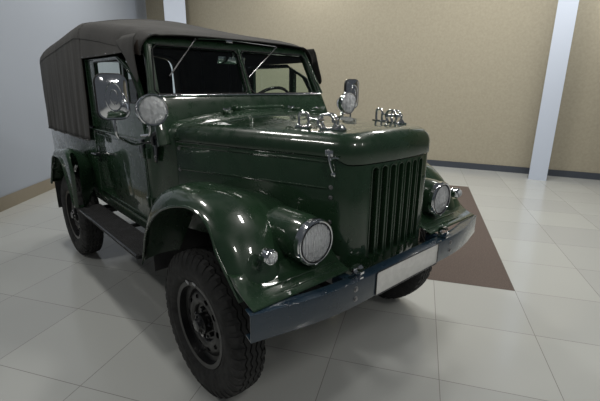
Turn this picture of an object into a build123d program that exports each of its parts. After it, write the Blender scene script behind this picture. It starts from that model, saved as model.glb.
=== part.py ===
from build123d import *
from math import cos, pi, radians, sin, sqrt
import os

# Light open-bodied 4x4 car with a canvas top, in millimetres.
# X points to the vehicle's left, Y to its rear, Z up. The origin is on the ground,
# under the middle of the overall length and width.

os.makedirs("parts", exist_ok=True)

# Overall sizes
overall_length = 3850
front_overhang = 660
wheelbase = 2300
track = 1440
rear_station = overall_length - front_overhang
running_gap = 0.3
panel_gap = 6
sheet = 8

front_axle_y = front_overhang - overall_length / 2


def behind(distance):
    """The Y of a station this far behind the front axle."""
    return front_axle_y + distance


rear_axle_y = behind(wheelbase)
front_face_y = -overall_length / 2
rear_face_y = overall_length / 2

# Wheels
tyre_radius = 375
tyre_width = 180
tread_width = 132
bead_radius = 206
flange_radius = 222
rim_half_width = 70
rim_sheet = 6
disc_hole_count = 10
disc_hole_circle = 137
hub_radius = 52
hub_cap_radius = 36
drum_radius = 140
drum_sheet = 8
wheel_nut_circle = 69.85
wheel_nut_count = 5
wheel_x = track / 2
axle_z = tyre_radius

# Axles, knuckles and steering
axle_tube_radius = 40
kingpin_x = 610
ball_radius = 70
cup_sheet = 13
cup_overlap = 8
spindle_radius = 28
diff_x = -200
diff_radius = 165
diff_half_width = 130
pinion_nose_radius = 62
pinion_nose_length = 235
steering_arm_length = 215
steering_arm_drop = 74
steering_arm_sheet = 16
tie_rod_radius = 13
tie_rod_eye_radius = 22
tie_rod_eye_height = 36
tie_rod_pin_radius = 8
steering_wheel_x = 375
steering_wheel_station = 936
steering_wheel_z = 1343
steering_wheel_radius = 212
steering_rim_radius = 11
column_angle = 40
column_radius = 20

# Ladder frame and springs
rail_x = 380
rail_width = 50
rail_height = 100
rail_bottom = 540
rail_front = -600
rail_rear = rear_station - 70
rail_top = rail_bottom + rail_height
crossmember_stations = (-400, 1180, 1740, 2520, rail_rear - 35)
crossmember_width = 60
crossmember_drop = 10
spring_width = 50
spring_seat_z = 420
spring_eye_z = 505
spring_eye_radius = 24
spring_pack = 52
front_spring_half = 480
rear_spring_half = 560

# Engine and drive line
engine_front = -330
engine_rear = 350
engine_half_width = 175
engine_top = 1100
engine_bottom = 560
gearbox_rear = 860
gearbox_half_width = 120
gearbox_bottom = 470
transfer_rear = 1100
transfer_right = -260
transfer_left = 170
transfer_bottom = 440
output_z = 515
shaft_radius = 30
shaft_flange_radius = 48
shaft_flange_length = 26
exhaust_x = 255
exhaust_z = 490

# Body
body_half_width = 690
wall = 36
floor_sheet = 12
sill_bottom = 620
sill_top = 690
belt_z = 1182
body_rear = rear_station - 28
door_front = 708
door_rear = 1686
door_bottom = 697
door_hinge_x = 702
door_sheet = 30
door_top_z = 1684
door_step_z = 1318
tailgate_half_width = 555
tailgate_sheet = 35
tailgate_hinge_z = 662

# Hinges: barrels on the fixed side, leaves with a seat round them on the moving side
barrel_radius = 7
barrel_seat = barrel_radius + running_gap
leaf_length = 46
leaf_sheet = 8
door_hinge_station = 708
door_hinge_heights = (830, 1130)
door_barrel_length = 60
tailgate_hinge_station = body_rear + 8
tailgate_hinge_x = 400
hood_hinge_station = 472.5
hood_hinge_z = 1364
hood_hinge_x = 270
hood_hinge_pad = 14
hood_hinge_pad_gap = 10

# Bonnet, grille and cowl
nose_front = -566
nose_seam = -465
nose_corner_station = -542.6
nose_corner_radius = 120
nose_bow = 13
nose_bow_fullness = 0.95
nose_flare_start = -475
nose_half_width = 335
nose_flare = 0.2925
nose_lip_z = 1222
hood_front_lip_z = 1196
hood_edge_radius = 78
hood_crown_radius = 2900
nose_panel_bottom = 720
grille_bottom = 690
grille_sheet = 10
grille_slot_count = 7
grille_slot_pitch = 60
grille_slot_width = 36
grille_slot_bottom = 752
grille_slot_top = 1176
grille_lip = 5
grille_slot_depth = 22
hood_rear = 470
hood_crown_front = 1328
hood_crown_rear = 1365
cowl_rear = 702
cowl_shoulder_z = 1284
firewall_station = 578

# Windscreen
screen_station = 640
screen_station_z = 1448
screen_tilt = 24.8
screen_frame_sheet = 34
screen_bottom_half = 690
screen_top_half = 622
screen_top_z = 1772
screen_glass_bottom_z = 1450
screen_rail = 46
screen_post = 30
glass_sheet = 6

# Fenders and running boards
fender_half_width = 875
fender_top_z = 1068
body_wheel_hole = 414
apron_sheet = 5
board_top_z = 580
board_sheet = 22
board_front = 550
board_rear = 1780

# Lamps, bumper and fittings
headlamp_x = 502
headlamp_station = -507
headlamp_z = 897
headlamp_radius = 100
marker_x = 726
marker_station = -490
marker_z = 891
marker_radius = 32
bumper_bottom = 620
bumper_top = 733
bumper_depth = 55
bumper_sheet = 6
bumper_tip_station = -578
spot_x = 745
spot_station = 450
spot_z = 1390
spot_radius = 80
mirror_x = 900
mirror_station = 530
mirror_z = 1454
mirror_width = 150
mirror_height = 215
mirror_sheet = 24

# Spare wheel, on the left side behind the door
spare_x = 893
spare_station = 2074
spare_z = 1022
spare_recess = 12

# Canopy
canopy_sheet = 10
canopy_eaves_z = 1692
canopy_front = 742
canopy_hem_z = 1100
canopy_half_width = 703
canopy_rear = rear_station - 2
canopy_bow_rear = canopy_rear - 288
canopy_wall_front = 1704
canopy_window = (440, 180)
canopy_window_z = 1655
bow_radius = 12


def finish(builder, name):
    """Labels a finished piece and writes its file."""
    builder.part.label = name
    export_step(builder.part, f"parts/{name}.step")


def hood_half_width(station):
    """Half the width over the bonnet at a station: its sides flare to the rear."""
    return nose_half_width + nose_flare * (station - nose_flare_start)


def wheel_plane(side, x, y):
    """A section plane through a wheel centre: its x runs outwards and its y up."""
    return Plane(origin=(side * x, y, axle_z), x_dir=(side, 0, 0), z_dir=(0, -side, 0))


def side_plane(x):
    """A plane at X whose x runs to the rear and whose y runs up."""
    return Plane(origin=(x, front_axle_y, 0), x_dir=(0, 1, 0), z_dir=(1, 0, 0))


def plan_plane(z):
    """A level plane at Z whose y counts from the front axle."""
    return Plane(origin=(0, front_axle_y, z), x_dir=(1, 0, 0), z_dir=(0, 0, 1))


def cross_plane(station):
    """An upright plane across the vehicle at a station: its x is X and its y is Z."""
    return Plane(origin=(0, behind(station), 0), x_dir=(1, 0, 0), z_dir=(0, -1, 0))


# Wheels: a cross-ply tyre on a dished disc wheel with its hub and drum

def tyre_section():
    """The tyre's closed section: x across the wheel, y the radius."""
    shoulder = tread_width / 2
    with BuildSketch() as section:
        with BuildLine():
            tread = ThreePointArc((-shoulder, tyre_radius - 5), (0, tyre_radius), (shoulder, tyre_radius - 5))
            right = ThreePointArc(
                tread @ 1, (tyre_width / 2, (tyre_radius + flange_radius) / 2 - 4), (64, flange_radius + 2)
            )
            left = ThreePointArc(
                (-64, flange_radius + 2), (-tyre_width / 2, (tyre_radius + flange_radius) / 2 - 4), tread @ 0
            )
            Polyline(right @ 1, (62, bead_radius), (-62, bead_radius), left @ 0)
        make_face()
    return section.sketch


def tyre(side, x, y, z):
    place = Plane(origin=(side * x, y, z), x_dir=(side, 0, 0), z_dir=(0, -side, 0))
    with BuildPart() as ring:
        with BuildSketch(place):
            add(tyre_section())
        revolve(axis=Axis((side * x, y, z), (1, 0, 0)))
    return ring


def rim_section():
    """Rim with its well, from flange to flange."""
    with BuildSketch() as section:
        with BuildLine():
            Polyline(
                (-rim_half_width, flange_radius),
                (-rim_half_width + rim_sheet, flange_radius),
                (-62, bead_radius),
                (-32, bead_radius - 3),
                (-24, bead_radius - 24),
                (24, bead_radius - 24),
                (32, bead_radius - 3),
                (62, bead_radius),
                (rim_half_width - rim_sheet, flange_radius),
                (rim_half_width, flange_radius),
                (rim_half_width - 2, bead_radius - rim_sheet),
                (34, bead_radius - 3 - rim_sheet),
                (26, bead_radius - 24 - rim_sheet),
                (-26, bead_radius - 24 - rim_sheet),
                (-34, bead_radius - 3 - rim_sheet),
                (-rim_half_width + 2, bead_radius - rim_sheet),
                close=True,
            )
        make_face()
    return section.sketch


def disc_section(bore):
    """Dished disc, from the rim's well in to the bore."""
    well = bead_radius - 24 - rim_sheet
    with BuildSketch() as section:
        with BuildLine():
            Polyline(
                (14, well + 1),
                (24, well + 1),
                (40, 150),
                (46, 118),
                (38, 98),
                (24, 90),
                (24, bore),
                (17, bore),
                (17, 94),
                (32, 104),
                (39, 120),
                (33, 146),
                close=True,
            )
        make_face()
    return section.sketch


def wheel_disc(side, x, y, z, with_hub):
    place = Plane(origin=(side * x, y, z), x_dir=(side, 0, 0), z_dir=(0, -side, 0))
    spin = Axis((side * x, y, z), (1, 0, 0))
    face = Plane(origin=(side * (x + 60), y, z), x_dir=(0, 1, 0), z_dir=(side, 0, 0))
    nuts = Plane(origin=(side * (x + 23), y, z), x_dir=(0, 1, 0), z_dir=(side, 0, 0))
    with BuildPart() as disc:
        with BuildSketch(place):
            add(rim_section())
            add(disc_section(hub_radius))
        revolve(axis=spin)
        with BuildSketch(face):
            with PolarLocations(disc_hole_circle, disc_hole_count):
                SlotOverall(34, 20, rotation=90)
        extrude(amount=-50, mode=Mode.SUBTRACT)
        with BuildSketch(nuts):
            with PolarLocations(wheel_nut_circle, wheel_nut_count):
                RegularPolygon(radius=12, side_count=6)
        extrude(amount=20)
        if with_hub:
            with BuildSketch(place):
                with BuildLine():
                    Polyline(
                        (-24, spindle_radius + running_gap),
                        (-24, hub_radius + 4),
                        (9, hub_radius + 4),
                        (9, drum_radius - drum_sheet),
                        (-36, drum_radius - drum_sheet),
                        (-36, drum_radius),
                        (17, drum_radius),
                        (17, hub_radius),
                        (58, hub_radius),
                        (64, hub_cap_radius + 8),
                        (64, hub_cap_radius),
                        (78, hub_cap_radius - 6),
                        (78, 0),
                        (28, 0),
                        (28, spindle_radius + running_gap),
                        close=True,
                    )
                make_face()
            revolve(axis=spin)
    return disc


for name, side, y in (
    ("fl", 1, front_axle_y),
    ("fr", -1, front_axle_y),
    ("rl", 1, rear_axle_y),
    ("rr", -1, rear_axle_y),
):
    finish(tyre(side, wheel_x, y, axle_z), f"tyre_{name}")
    finish(wheel_disc(side, wheel_x, y, axle_z, True), f"wheel_disc_{name}")

finish(tyre(1, spare_x, behind(spare_station), spare_z), "tyre_spare")
spare_disc = wheel_disc(1, spare_x, behind(spare_station), spare_z, False)


# Axles: tube, differential housing and pinion nose, spring seats and ends

def axle(y, nose_direction, steered):
    """A live axle. Front: balls for the knuckles. Rear: backing plates and spindles."""
    end_x = kingpin_x if steered else wheel_x - 46
    centre = Plane(origin=(diff_x, y, axle_z), x_dir=(1, 0, 0), z_dir=(0, -1, 0))
    nose = Plane(origin=(diff_x, y, axle_z), x_dir=(1, 0, 0), z_dir=(0, nose_direction, 0))
    with BuildPart() as housing:
        with BuildSketch(Plane(origin=(-end_x, y, axle_z), x_dir=(0, 1, 0), z_dir=(1, 0, 0))):
            Circle(axle_tube_radius)
        extrude(amount=2 * end_x)
        with BuildSketch(centre):
            with BuildLine():
                bulge = ThreePointArc(
                    (-diff_half_width, axle_tube_radius + 6),
                    (0, diff_radius),
                    (diff_half_width, axle_tube_radius + 6),
                )
                Polyline(bulge @ 1, (diff_half_width, 0), (-diff_half_width, 0), bulge @ 0)
            make_face()
        revolve(axis=Axis((diff_x, y, axle_z), (1, 0, 0)))
        with BuildSketch(nose):
            Circle(pinion_nose_radius)
        extrude(amount=pinion_nose_length)
        for seat_x in (-rail_x, rail_x):
            seat = Plane(origin=(seat_x, y, axle_z), x_dir=(1, 0, 0), z_dir=(0, 0, 1))
            with BuildSketch(seat):
                Rectangle(spring_width + 10, 100)
            extrude(amount=spring_seat_z - axle_z)
        if steered:
            with Locations((kingpin_x, y, axle_z), (-kingpin_x, y, axle_z)):
                Sphere(ball_radius)
        else:
            for side in (-1, 1):
                with BuildSketch(wheel_plane(side, wheel_x, y)):
                    with BuildLine():
                        Polyline(
                            (-52, 0),
                            (-52, drum_radius),
                            (-46, drum_radius),
                            (-46, hub_radius),
                            (-25, spindle_radius),
                            (27, spindle_radius),
                            (27, 0),
                            close=True,
                        )
                    make_face()
                revolve(axis=Axis((side * wheel_x, y, axle_z), (1, 0, 0)))
    return housing


axle_front = axle(front_axle_y, 1, True)
axle_rear = axle(rear_axle_y, -1, False)
finish(axle_front, "axle_front")
finish(axle_rear, "axle_rear")


# Steering knuckles: a cup round the axle's ball, backing plate, spindle and arm

def knuckle():
    """The left knuckle. The right one is its mirror image."""
    centre = (kingpin_x, front_axle_y, axle_z)
    offset = wheel_x - kingpin_x
    section = wheel_plane(1, kingpin_x, front_axle_y)
    cup = ball_radius + cup_sheet
    plate_x = offset - 50
    arm_top = axle_z - steering_arm_drop + steering_arm_sheet
    level = Plane(origin=(centre[0], centre[1], arm_top), x_dir=(1, 0, 0), z_dir=(0, 0, 1))
    socket = ball_radius + running_gap
    with BuildPart() as joint:
        with BuildSketch(section):
            with BuildLine():
                outer = ThreePointArc(
                    (-cup_overlap, sqrt(cup**2 - cup_overlap**2)), (cup * cos(pi / 4), cup * sin(pi / 4)), (cup, 0)
                )
                inner = ThreePointArc(
                    (socket, 0),
                    (socket * cos(pi / 4), socket * sin(pi / 4)),
                    (-cup_overlap, sqrt(socket**2 - cup_overlap**2)),
                )
                Line(outer @ 1, inner @ 0)
                Line(inner @ 1, outer @ 0)
            make_face()
            with BuildLine():
                Polyline(
                    (plate_x, 0),
                    (plate_x, drum_radius),
                    (plate_x + 6, drum_radius),
                    (plate_x + 6, cup - 12),
                    (cup + 1, spindle_radius),
                    (offset + 27, spindle_radius),
                    (offset + 27, 0),
                    close=True,
                )
            make_face()
        revolve(axis=Axis(centre, (1, 0, 0)))
        with Locations(centre):
            Cylinder(26, 2 * (cup + 12))
        with BuildSketch(level):
            with Locations((0, -steering_arm_length / 2)):
                SlotCenterToCenter(steering_arm_length, 36, rotation=90)
        extrude(amount=-steering_arm_sheet)
        with Locations(centre):
            Sphere(socket, mode=Mode.SUBTRACT)
        with BuildSketch(level):
            with Locations((0, -steering_arm_length)):
                Circle(tie_rod_pin_radius)
        extrude(amount=tie_rod_eye_height + 8)
    return joint


knuckle_left = knuckle()
finish(knuckle_left, "knuckle_left")
with BuildPart() as knuckle_right:
    add(mirror(knuckle_left.part, about=Plane.YZ, mode=Mode.PRIVATE))
finish(knuckle_right, "knuckle_right")

tie_rod_y = front_axle_y - steering_arm_length
tie_rod_bottom = axle_z - steering_arm_drop + steering_arm_sheet + 1
with BuildPart() as tie_rod:
    with BuildSketch(Plane.XY.offset(tie_rod_bottom)):
        with Locations((-kingpin_x, tie_rod_y), (kingpin_x, tie_rod_y)):
            Circle(tie_rod_eye_radius)
    extrude(amount=tie_rod_eye_height)
    tube_place = Plane(
        origin=(-kingpin_x, tie_rod_y, tie_rod_bottom + tie_rod_eye_height / 2),
        x_dir=(0, 1, 0),
        z_dir=(1, 0, 0),
    )
    with BuildSketch(tube_place):
        Circle(tie_rod_radius)
    extrude(amount=2 * kingpin_x)
    with BuildSketch(Plane.XY.offset(tie_rod_bottom)):
        with Locations((-kingpin_x, tie_rod_y), (kingpin_x, tie_rod_y)):
            Circle(tie_rod_pin_radius + running_gap)
    extrude(amount=tie_rod_eye_height, mode=Mode.SUBTRACT)
finish(tie_rod, "tie_rod")

# Steering column, its box on the left rail, and the steering wheel

column_along = Vector(0, cos(radians(column_angle)), sin(radians(column_angle)))
column_top = Vector(steering_wheel_x, behind(steering_wheel_station), steering_wheel_z) - column_along * 34
column_length = (column_top.Z - rail_top - 40) / column_along.Z
column_foot = column_top - column_along * column_length
with BuildPart() as steering_column:
    with BuildSketch(Plane(origin=column_foot, x_dir=(1, 0, 0), z_dir=column_along)):
        Circle(column_radius)
    extrude(amount=column_length)
    with Locations((column_foot.X, column_foot.Y, rail_top + 50)):
        Box(90, 130, 100)
finish(steering_column, "steering_column")

wheel_centre = Vector(steering_wheel_x, behind(steering_wheel_station), steering_wheel_z)
wheel_face = Plane(origin=wheel_centre, x_dir=(1, 0, 0), z_dir=column_along)
with BuildPart() as steering_wheel:
    with BuildSketch(Plane(origin=wheel_centre, x_dir=(1, 0, 0), z_dir=wheel_face.y_dir)):
        with Locations((steering_wheel_radius - steering_rim_radius, 0)):
            Circle(steering_rim_radius)
    revolve(axis=Axis(wheel_centre, column_along))
    with BuildSketch(wheel_face.offset(-33)):
        Circle(34)
    extrude(amount=45)
    with BuildSketch(wheel_face.offset(-8)):
        with PolarLocations((steering_wheel_radius - steering_rim_radius) / 2 + 10, 3, start_angle=90):
            Rectangle(steering_wheel_radius - steering_rim_radius - 20, 16)
    extrude(amount=10)
finish(steering_wheel, "steering_wheel")

# Ladder frame

with BuildPart() as frame_rails:
    with BuildSketch(side_plane(rail_x - rail_width / 2)):
        with BuildLine():
            Polyline(
                (rail_front, rail_bottom + 30),
                (rail_front + 160, rail_bottom),
                (rail_rear, rail_bottom),
                (rail_rear, rail_top),
                (rail_front, rail_top),
                close=True,
            )
        make_face()
    extrude(amount=rail_width)
    mirror(about=Plane.YZ)
finish(frame_rails, "frame_rails")

with BuildPart() as crossmembers:
    for station in crossmember_stations:
        with Locations((0, behind(station), rail_bottom + rail_height / 2)):
            Box(2 * rail_x - rail_width, crossmember_width, rail_height - 2 * crossmember_drop)
finish(crossmembers, "crossmembers")

# Leaf springs with their eyes and hangers, one at each wheel

with BuildPart() as leaf_springs:
    for station, half in ((0, front_spring_half), (wheelbase, rear_spring_half)):
        with BuildSketch(side_plane(rail_x - spring_width / 2)):
            with BuildLine():
                top = ThreePointArc(
                    (station - half, spring_eye_z + 5),
                    (station, spring_seat_z + spring_pack),
                    (station + half, spring_eye_z + 5),
                )
                right = Line(top @ 1, (station + half, spring_eye_z - 5))
                front_curve = ThreePointArc(
                    right @ 1,
                    (station + half * 0.55, (spring_eye_z + spring_seat_z) / 2 - 12),
                    (station + 60, spring_seat_z),
                )
                seat = Line(front_curve @ 1, (station - 60, spring_seat_z))
                rear_curve = ThreePointArc(
                    seat @ 1,
                    (station - half * 0.55, (spring_eye_z + spring_seat_z) / 2 - 12),
                    (station - half, spring_eye_z - 5),
                )
                Line(rear_curve @ 1, top @ 0)
            make_face()
            with Locations((station - half, spring_eye_z), (station + half, spring_eye_z)):
                Circle(spring_eye_radius)
                with Locations((0, (rail_bottom - spring_eye_z) / 2)):
                    Rectangle(2 * spring_eye_radius, rail_bottom - spring_eye_z)
        extrude(amount=spring_width)
    mirror(about=Plane.YZ)
finish(leaf_springs, "leaf_springs")

# Engine, gearbox and transfer case, as the masses they are, on mounts to the rails

with BuildPart() as powertrain:
    for right, left, front, rear, bottom, top in (
        (-engine_half_width, engine_half_width, engine_front, engine_rear, engine_bottom, engine_top),
        (-gearbox_half_width, gearbox_half_width, engine_rear, gearbox_rear, gearbox_bottom, rail_top - 12),
        (transfer_right, transfer_left, gearbox_rear, transfer_rear, transfer_bottom, rail_top - 12),
    ):
        with Locations(((right + left) / 2, behind((front + rear) / 2), (bottom + top) / 2)):
            Box(left - right, rear - front, top - bottom)
    with Locations((0, behind(-150), engine_bottom + 40), (0, behind(transfer_rear - 60), engine_bottom + 40)):
        Box(2 * rail_x - rail_width, 60, 40)
finish(powertrain, "powertrain")


def propeller_shaft(front_y, front_z, rear_y, rear_z):
    """A tube between two flanges that face along Y."""
    front = Vector(diff_x, front_y + shaft_flange_length / 2, front_z)
    rear = Vector(diff_x, rear_y - shaft_flange_length / 2, rear_z)
    run = rear - front
    with BuildPart() as shaft:
        for flange_y, flange_z in ((front_y, front_z), (rear_y - shaft_flange_length, rear_z)):
            with BuildSketch(Plane(origin=(diff_x, flange_y, flange_z), x_dir=(1, 0, 0), z_dir=(0, 1, 0))):
                Circle(shaft_flange_radius)
            extrude(amount=shaft_flange_length)
        with BuildSketch(Plane(origin=front, x_dir=(1, 0, 0), z_dir=run)):
            Circle(shaft_radius)
        extrude(amount=run.length)
    return shaft.part


with BuildPart() as propeller_shafts:
    add(propeller_shaft(front_axle_y + pinion_nose_length, axle_z, behind(gearbox_rear), output_z))
    add(propeller_shaft(behind(transfer_rear), output_z, rear_axle_y - pinion_nose_length, axle_z))
finish(propeller_shafts, "propeller_shafts")

# Exhaust: pipe and silencer on the right, hung from the cross members

with BuildPart() as exhaust:
    with BuildLine():
        FilletPolyline(
            (exhaust_x - 40, behind(engine_front + 300), exhaust_z + 150),
            (exhaust_x, behind(engine_rear - 60), exhaust_z),
            (exhaust_x, behind(rail_rear - 120), exhaust_z),
            (exhaust_x + 180, behind(rail_rear + 20), exhaust_z),
            radius=70,
        )
    with BuildSketch(Plane(origin=(exhaust_x + 180, behind(rail_rear + 20), exhaust_z), x_dir=(0, 0, 1), z_dir=(180, 140, 0))):
        Circle(21)
    sweep()
    with BuildSketch(Plane(origin=(exhaust_x, behind(1230), exhaust_z), x_dir=(1, 0, 0), z_dir=(0, 1, 0))):
        Ellipse(85, 45)
    extrude(amount=460)
    with Locations(
        (exhaust_x, behind(crossmember_stations[1]), (exhaust_z + rail_bottom + crossmember_drop) / 2),
        (exhaust_x, behind(crossmember_stations[2]), (exhaust_z + rail_bottom + crossmember_drop) / 2),
        (exhaust_x, behind(crossmember_stations[3]), (exhaust_z + rail_bottom + crossmember_drop) / 2),
    ):
        Box(30, 30, rail_bottom + crossmember_drop - exhaust_z)
finish(exhaust, "exhaust")

with BuildPart() as fuel_tank:
    with Locations((-60, behind(rail_rear - 330), rail_top - 75)):
        Box(480, 380, 150)
    fillet(fuel_tank.edges().filter_by(Axis.Y), radius=30)
finish(fuel_tank, "fuel_tank")

# Floor, sills and rear quarters

inner_half = body_half_width - wall
house_half = 600
house_front = wheelbase - 430
house_rear = wheelbase + 430
house_top = 880
with BuildPart() as floor_panel:
    with BuildSketch(plan_plane(rail_top)):
        with Locations((0, (firewall_station + body_rear - tailgate_sheet) / 2)):
            Rectangle(2 * inner_half, body_rear - tailgate_sheet - firewall_station)
        with Locations(
            (house_half + (inner_half - house_half) / 2, wheelbase),
            (-house_half - (inner_half - house_half) / 2, wheelbase),
        ):
            Rectangle(inner_half - house_half, house_rear - house_front, mode=Mode.SUBTRACT)
    extrude(amount=floor_sheet)
    for side in (-1, 1):
        with Locations(
            (side * tailgate_hinge_x, behind(tailgate_hinge_station) - 37, rail_top + floor_sheet - 1)
        ):
            Box(door_barrel_length, 74, 18)
        with Locations((side * tailgate_hinge_x, behind(tailgate_hinge_station), tailgate_hinge_z)):
            Cylinder(barrel_radius, door_barrel_length, rotation=(0, 90, 0))
finish(floor_panel, "floor_panel")

with BuildPart() as body_sides:
    with BuildSketch(side_plane(inner_half)):
        with BuildLine():
            Polyline(
                (cowl_rear, sill_bottom),
                (body_rear, sill_bottom),
                (body_rear, belt_z),
                (door_rear + panel_gap, belt_z),
                (door_rear + panel_gap, sill_top),
                (cowl_rear, sill_top),
                close=True,
            )
        make_face()
        with Locations((wheelbase, axle_z + 25)):
            Circle(body_wheel_hole, mode=Mode.SUBTRACT)
        with Locations((wheelbase, sill_bottom - 50)):
            Rectangle(house_rear - house_front, 200, mode=Mode.SUBTRACT)
    extrude(amount=wall)
    with BuildSketch(plan_plane(rail_top + floor_sheet)):
        corner = tailgate_half_width + panel_gap
        with Locations(((corner + inner_half) / 2, body_rear - tailgate_sheet / 2)):
            Rectangle(inner_half - corner, tailgate_sheet)
    extrude(amount=belt_z - rail_top - floor_sheet)
    mirror(about=Plane.YZ)
finish(body_sides, "body_sides")

with BuildPart() as wheelhouses:
    with BuildSketch(side_plane(house_half)):
        with BuildLine():
            Polyline(
                (house_front, rail_top),
                (house_front, house_top - 140),
                (house_front + 140, house_top),
                (house_rear - 140, house_top),
                (house_rear, house_top - 140),
                (house_rear, rail_top),
                close=True,
            )
        make_face()
    extrude(amount=inner_half - house_half)
    with BuildSketch(side_plane(house_half + sheet)):
        with BuildLine():
            Polyline(
                (house_front + sheet, rail_top),
                (house_front + sheet, house_top - 144),
                (house_front + 144, house_top - sheet),
                (house_rear - 144, house_top - sheet),
                (house_rear - sheet, house_top - 144),
                (house_rear - sheet, rail_top),
                close=True,
            )
        make_face()
    extrude(amount=inner_half - house_half, mode=Mode.SUBTRACT)
    mirror(about=Plane.YZ)
finish(wheelhouses, "wheelhouses")

# Cowl: firewall, top and side posts, open to the rear and below


def cowl_outline(half, shoulder_z, crown_z, inset):
    """Half-round-shouldered section from the sill up. x is X and y is Z."""
    base = rail_top + floor_sheet
    with BuildSketch() as section:
        with BuildLine():
            right = Line((half - inset, base), (half - inset, shoulder_z - 80))
            shoulder = ThreePointArc(
                right @ 1,
                (half - inset - 18, shoulder_z - 6 - inset * 0.7),
                (half - 84, shoulder_z + 40 - inset),
            )
            crown = ThreePointArc(shoulder @ 1, (0, crown_z - inset), (-(half - 84), shoulder_z + 40 - inset))
            other = ThreePointArc(
                crown @ 1,
                (-(half - inset - 18), shoulder_z - 6 - inset * 0.7),
                (-(half - inset), shoulder_z - 80),
            )
            Polyline(other @ 1, (-(half - inset), base), right @ 0)
        make_face()
    return section.sketch


cowl_front_half = hood_half_width(hood_rear + 5)


def cowl_half_width(station):
    """Half the cowl's width at a station."""
    share = (station - hood_rear - 5) / (cowl_rear - hood_rear - 5)
    return cowl_front_half + (body_half_width - cowl_front_half) * share


with BuildPart() as cowl_block:
    with BuildSketch(cross_plane(hood_rear + 5)):
        add(cowl_outline(cowl_front_half, 1272, hood_crown_rear, 0))
    with BuildSketch(cross_plane(cowl_rear)):
        add(cowl_outline(body_half_width, cowl_shoulder_z, hood_crown_rear + 8, 0))
    loft(ruled=True)

with BuildPart() as firewall:
    with Locations((0, behind(firewall_station + 5), belt_z)):
        Box(2 * body_half_width, 10, 2 * (belt_z - rail_top))
    add(cowl_block.part, mode=Mode.INTERSECT)

with BuildPart() as cowl:
    add(cowl_block.part)
    with BuildSketch(cross_plane(hood_rear + 5 - 1)):
        add(cowl_outline(cowl_front_half, 1272, hood_crown_rear, 10))
    with BuildSketch(cross_plane(cowl_rear + 1)):
        add(cowl_outline(body_half_width, cowl_shoulder_z, hood_crown_rear + 8, 10))
    loft(ruled=True, mode=Mode.SUBTRACT)
    add(firewall.part)
    with BuildSketch(Plane(origin=column_foot, x_dir=(1, 0, 0), z_dir=column_along)):
        Circle(column_radius + running_gap)
    extrude(amount=column_length, mode=Mode.SUBTRACT)
    for side in (-1, 1):
        for height in door_hinge_heights:
            with Locations((side * (door_hinge_x - 16), behind(door_hinge_station - 18), height)):
                Box(24, 36, door_barrel_length)
            with Locations((side * door_hinge_x, behind(door_hinge_station), height)):
                Cylinder(barrel_radius, door_barrel_length)
        with Locations((side * hood_hinge_x, behind(hood_hinge_station + 14), hood_hinge_z - 4)):
            Box(door_barrel_length, 28, leaf_sheet)
        with Locations((side * hood_hinge_x, behind(hood_hinge_station + 28), hood_hinge_z - 6)):
            Box(
                door_barrel_length,
                28 - hood_hinge_pad_gap,
                hood_hinge_pad,
                align=(Align.CENTER, Align.MAX, Align.MAX),
            )
        with Locations((side * hood_hinge_x, behind(hood_hinge_station), hood_hinge_z)):
            Cylinder(barrel_radius, door_barrel_length, rotation=(0, 90, 0))
finish(cowl, "cowl")

# Nose: side panels under the bonnet's lip, radiator and the slotted grille


def nose_plan(grow):
    """The nose's plan: sides that flare to the rear, round corners and a bowed face."""
    rear = hood_rear + 60
    corner_x = hood_half_width(nose_corner_station)
    slope = (nose_corner_station - nose_front + nose_bow) / corner_x
    bow_radius = nose_bow_fullness * (corner_x - 0.7 * nose_corner_radius) / slope
    with BuildSketch() as plan:
        with BuildLine():
            Polyline(
                (-corner_x, nose_corner_station),
                (0, nose_front - nose_bow),
                (corner_x, nose_corner_station),
                (hood_half_width(rear), rear),
                (-hood_half_width(rear), rear),
                close=True,
            )
        make_face()
        corners = plan.vertices().sort_by(Axis.Y)
        fillet(corners[1:3], radius=nose_corner_radius)
        fillet(plan.vertices().sort_by(Axis.Y)[0], radius=bow_radius)
        if grow:
            offset(amount=grow)
    return plan.sketch


def above_lip(drop):
    """Everything above a line that lies drop below the bonnet's lip."""
    with BuildPart() as block:
        with BuildSketch(side_plane(-body_half_width)):
            with BuildLine():
                Polyline(
                    (nose_front - 60, hood_front_lip_z - drop),
                    (nose_front + 50, hood_front_lip_z - drop),
                    (nose_seam, nose_lip_z - drop),
                    (hood_rear + 60, nose_lip_z - drop),
                    (hood_rear + 60, 1600),
                    (nose_front - 60, 1600),
                    close=True,
                )
            make_face()
        extrude(amount=2 * body_half_width)
    return block.part


def nose_outline(front, rear, inset):
    """The bonnet's plan between two stations: sides that flare to the rear."""
    with BuildSketch() as outline:
        with BuildLine():
            Polyline(
                (-(hood_half_width(front) - inset), front),
                (hood_half_width(front) - inset, front),
                (hood_half_width(rear) - inset, rear),
                (-(hood_half_width(rear) - inset), rear),
                close=True,
            )
        make_face()
    return outline.sketch


with BuildPart() as nose_sides:
    with BuildSketch(plan_plane(nose_panel_bottom)):
        add(nose_outline(nose_seam + running_gap, hood_rear + 4, 0))
        add(nose_outline(nose_seam, hood_rear + 5, sheet), mode=Mode.SUBTRACT)
    extrude(amount=nose_lip_z - panel_gap - nose_panel_bottom)
finish(nose_sides, "nose_sides")

slot_height = grille_slot_top - grille_slot_bottom
slot_centre_z = (grille_slot_top + grille_slot_bottom) / 2
grille_face = Plane(
    origin=(0, behind(nose_front - 2 * grille_lip), slot_centre_z), x_dir=(1, 0, 0), z_dir=(0, 1, 0)
)
slot_reach = nose_bow + 2 * grille_lip + grille_slot_depth


def grille_slots(rim):
    """The row of slots as solids that run rearwards, larger all round by rim."""
    with BuildPart() as slots:
        with BuildSketch(grille_face):
            with GridLocations(grille_slot_pitch, 0, grille_slot_count, 1):
                SlotOverall(slot_height + 2 * rim, grille_slot_width + 2 * rim, rotation=90)
        extrude(amount=slot_reach)
    return slots.part


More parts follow.
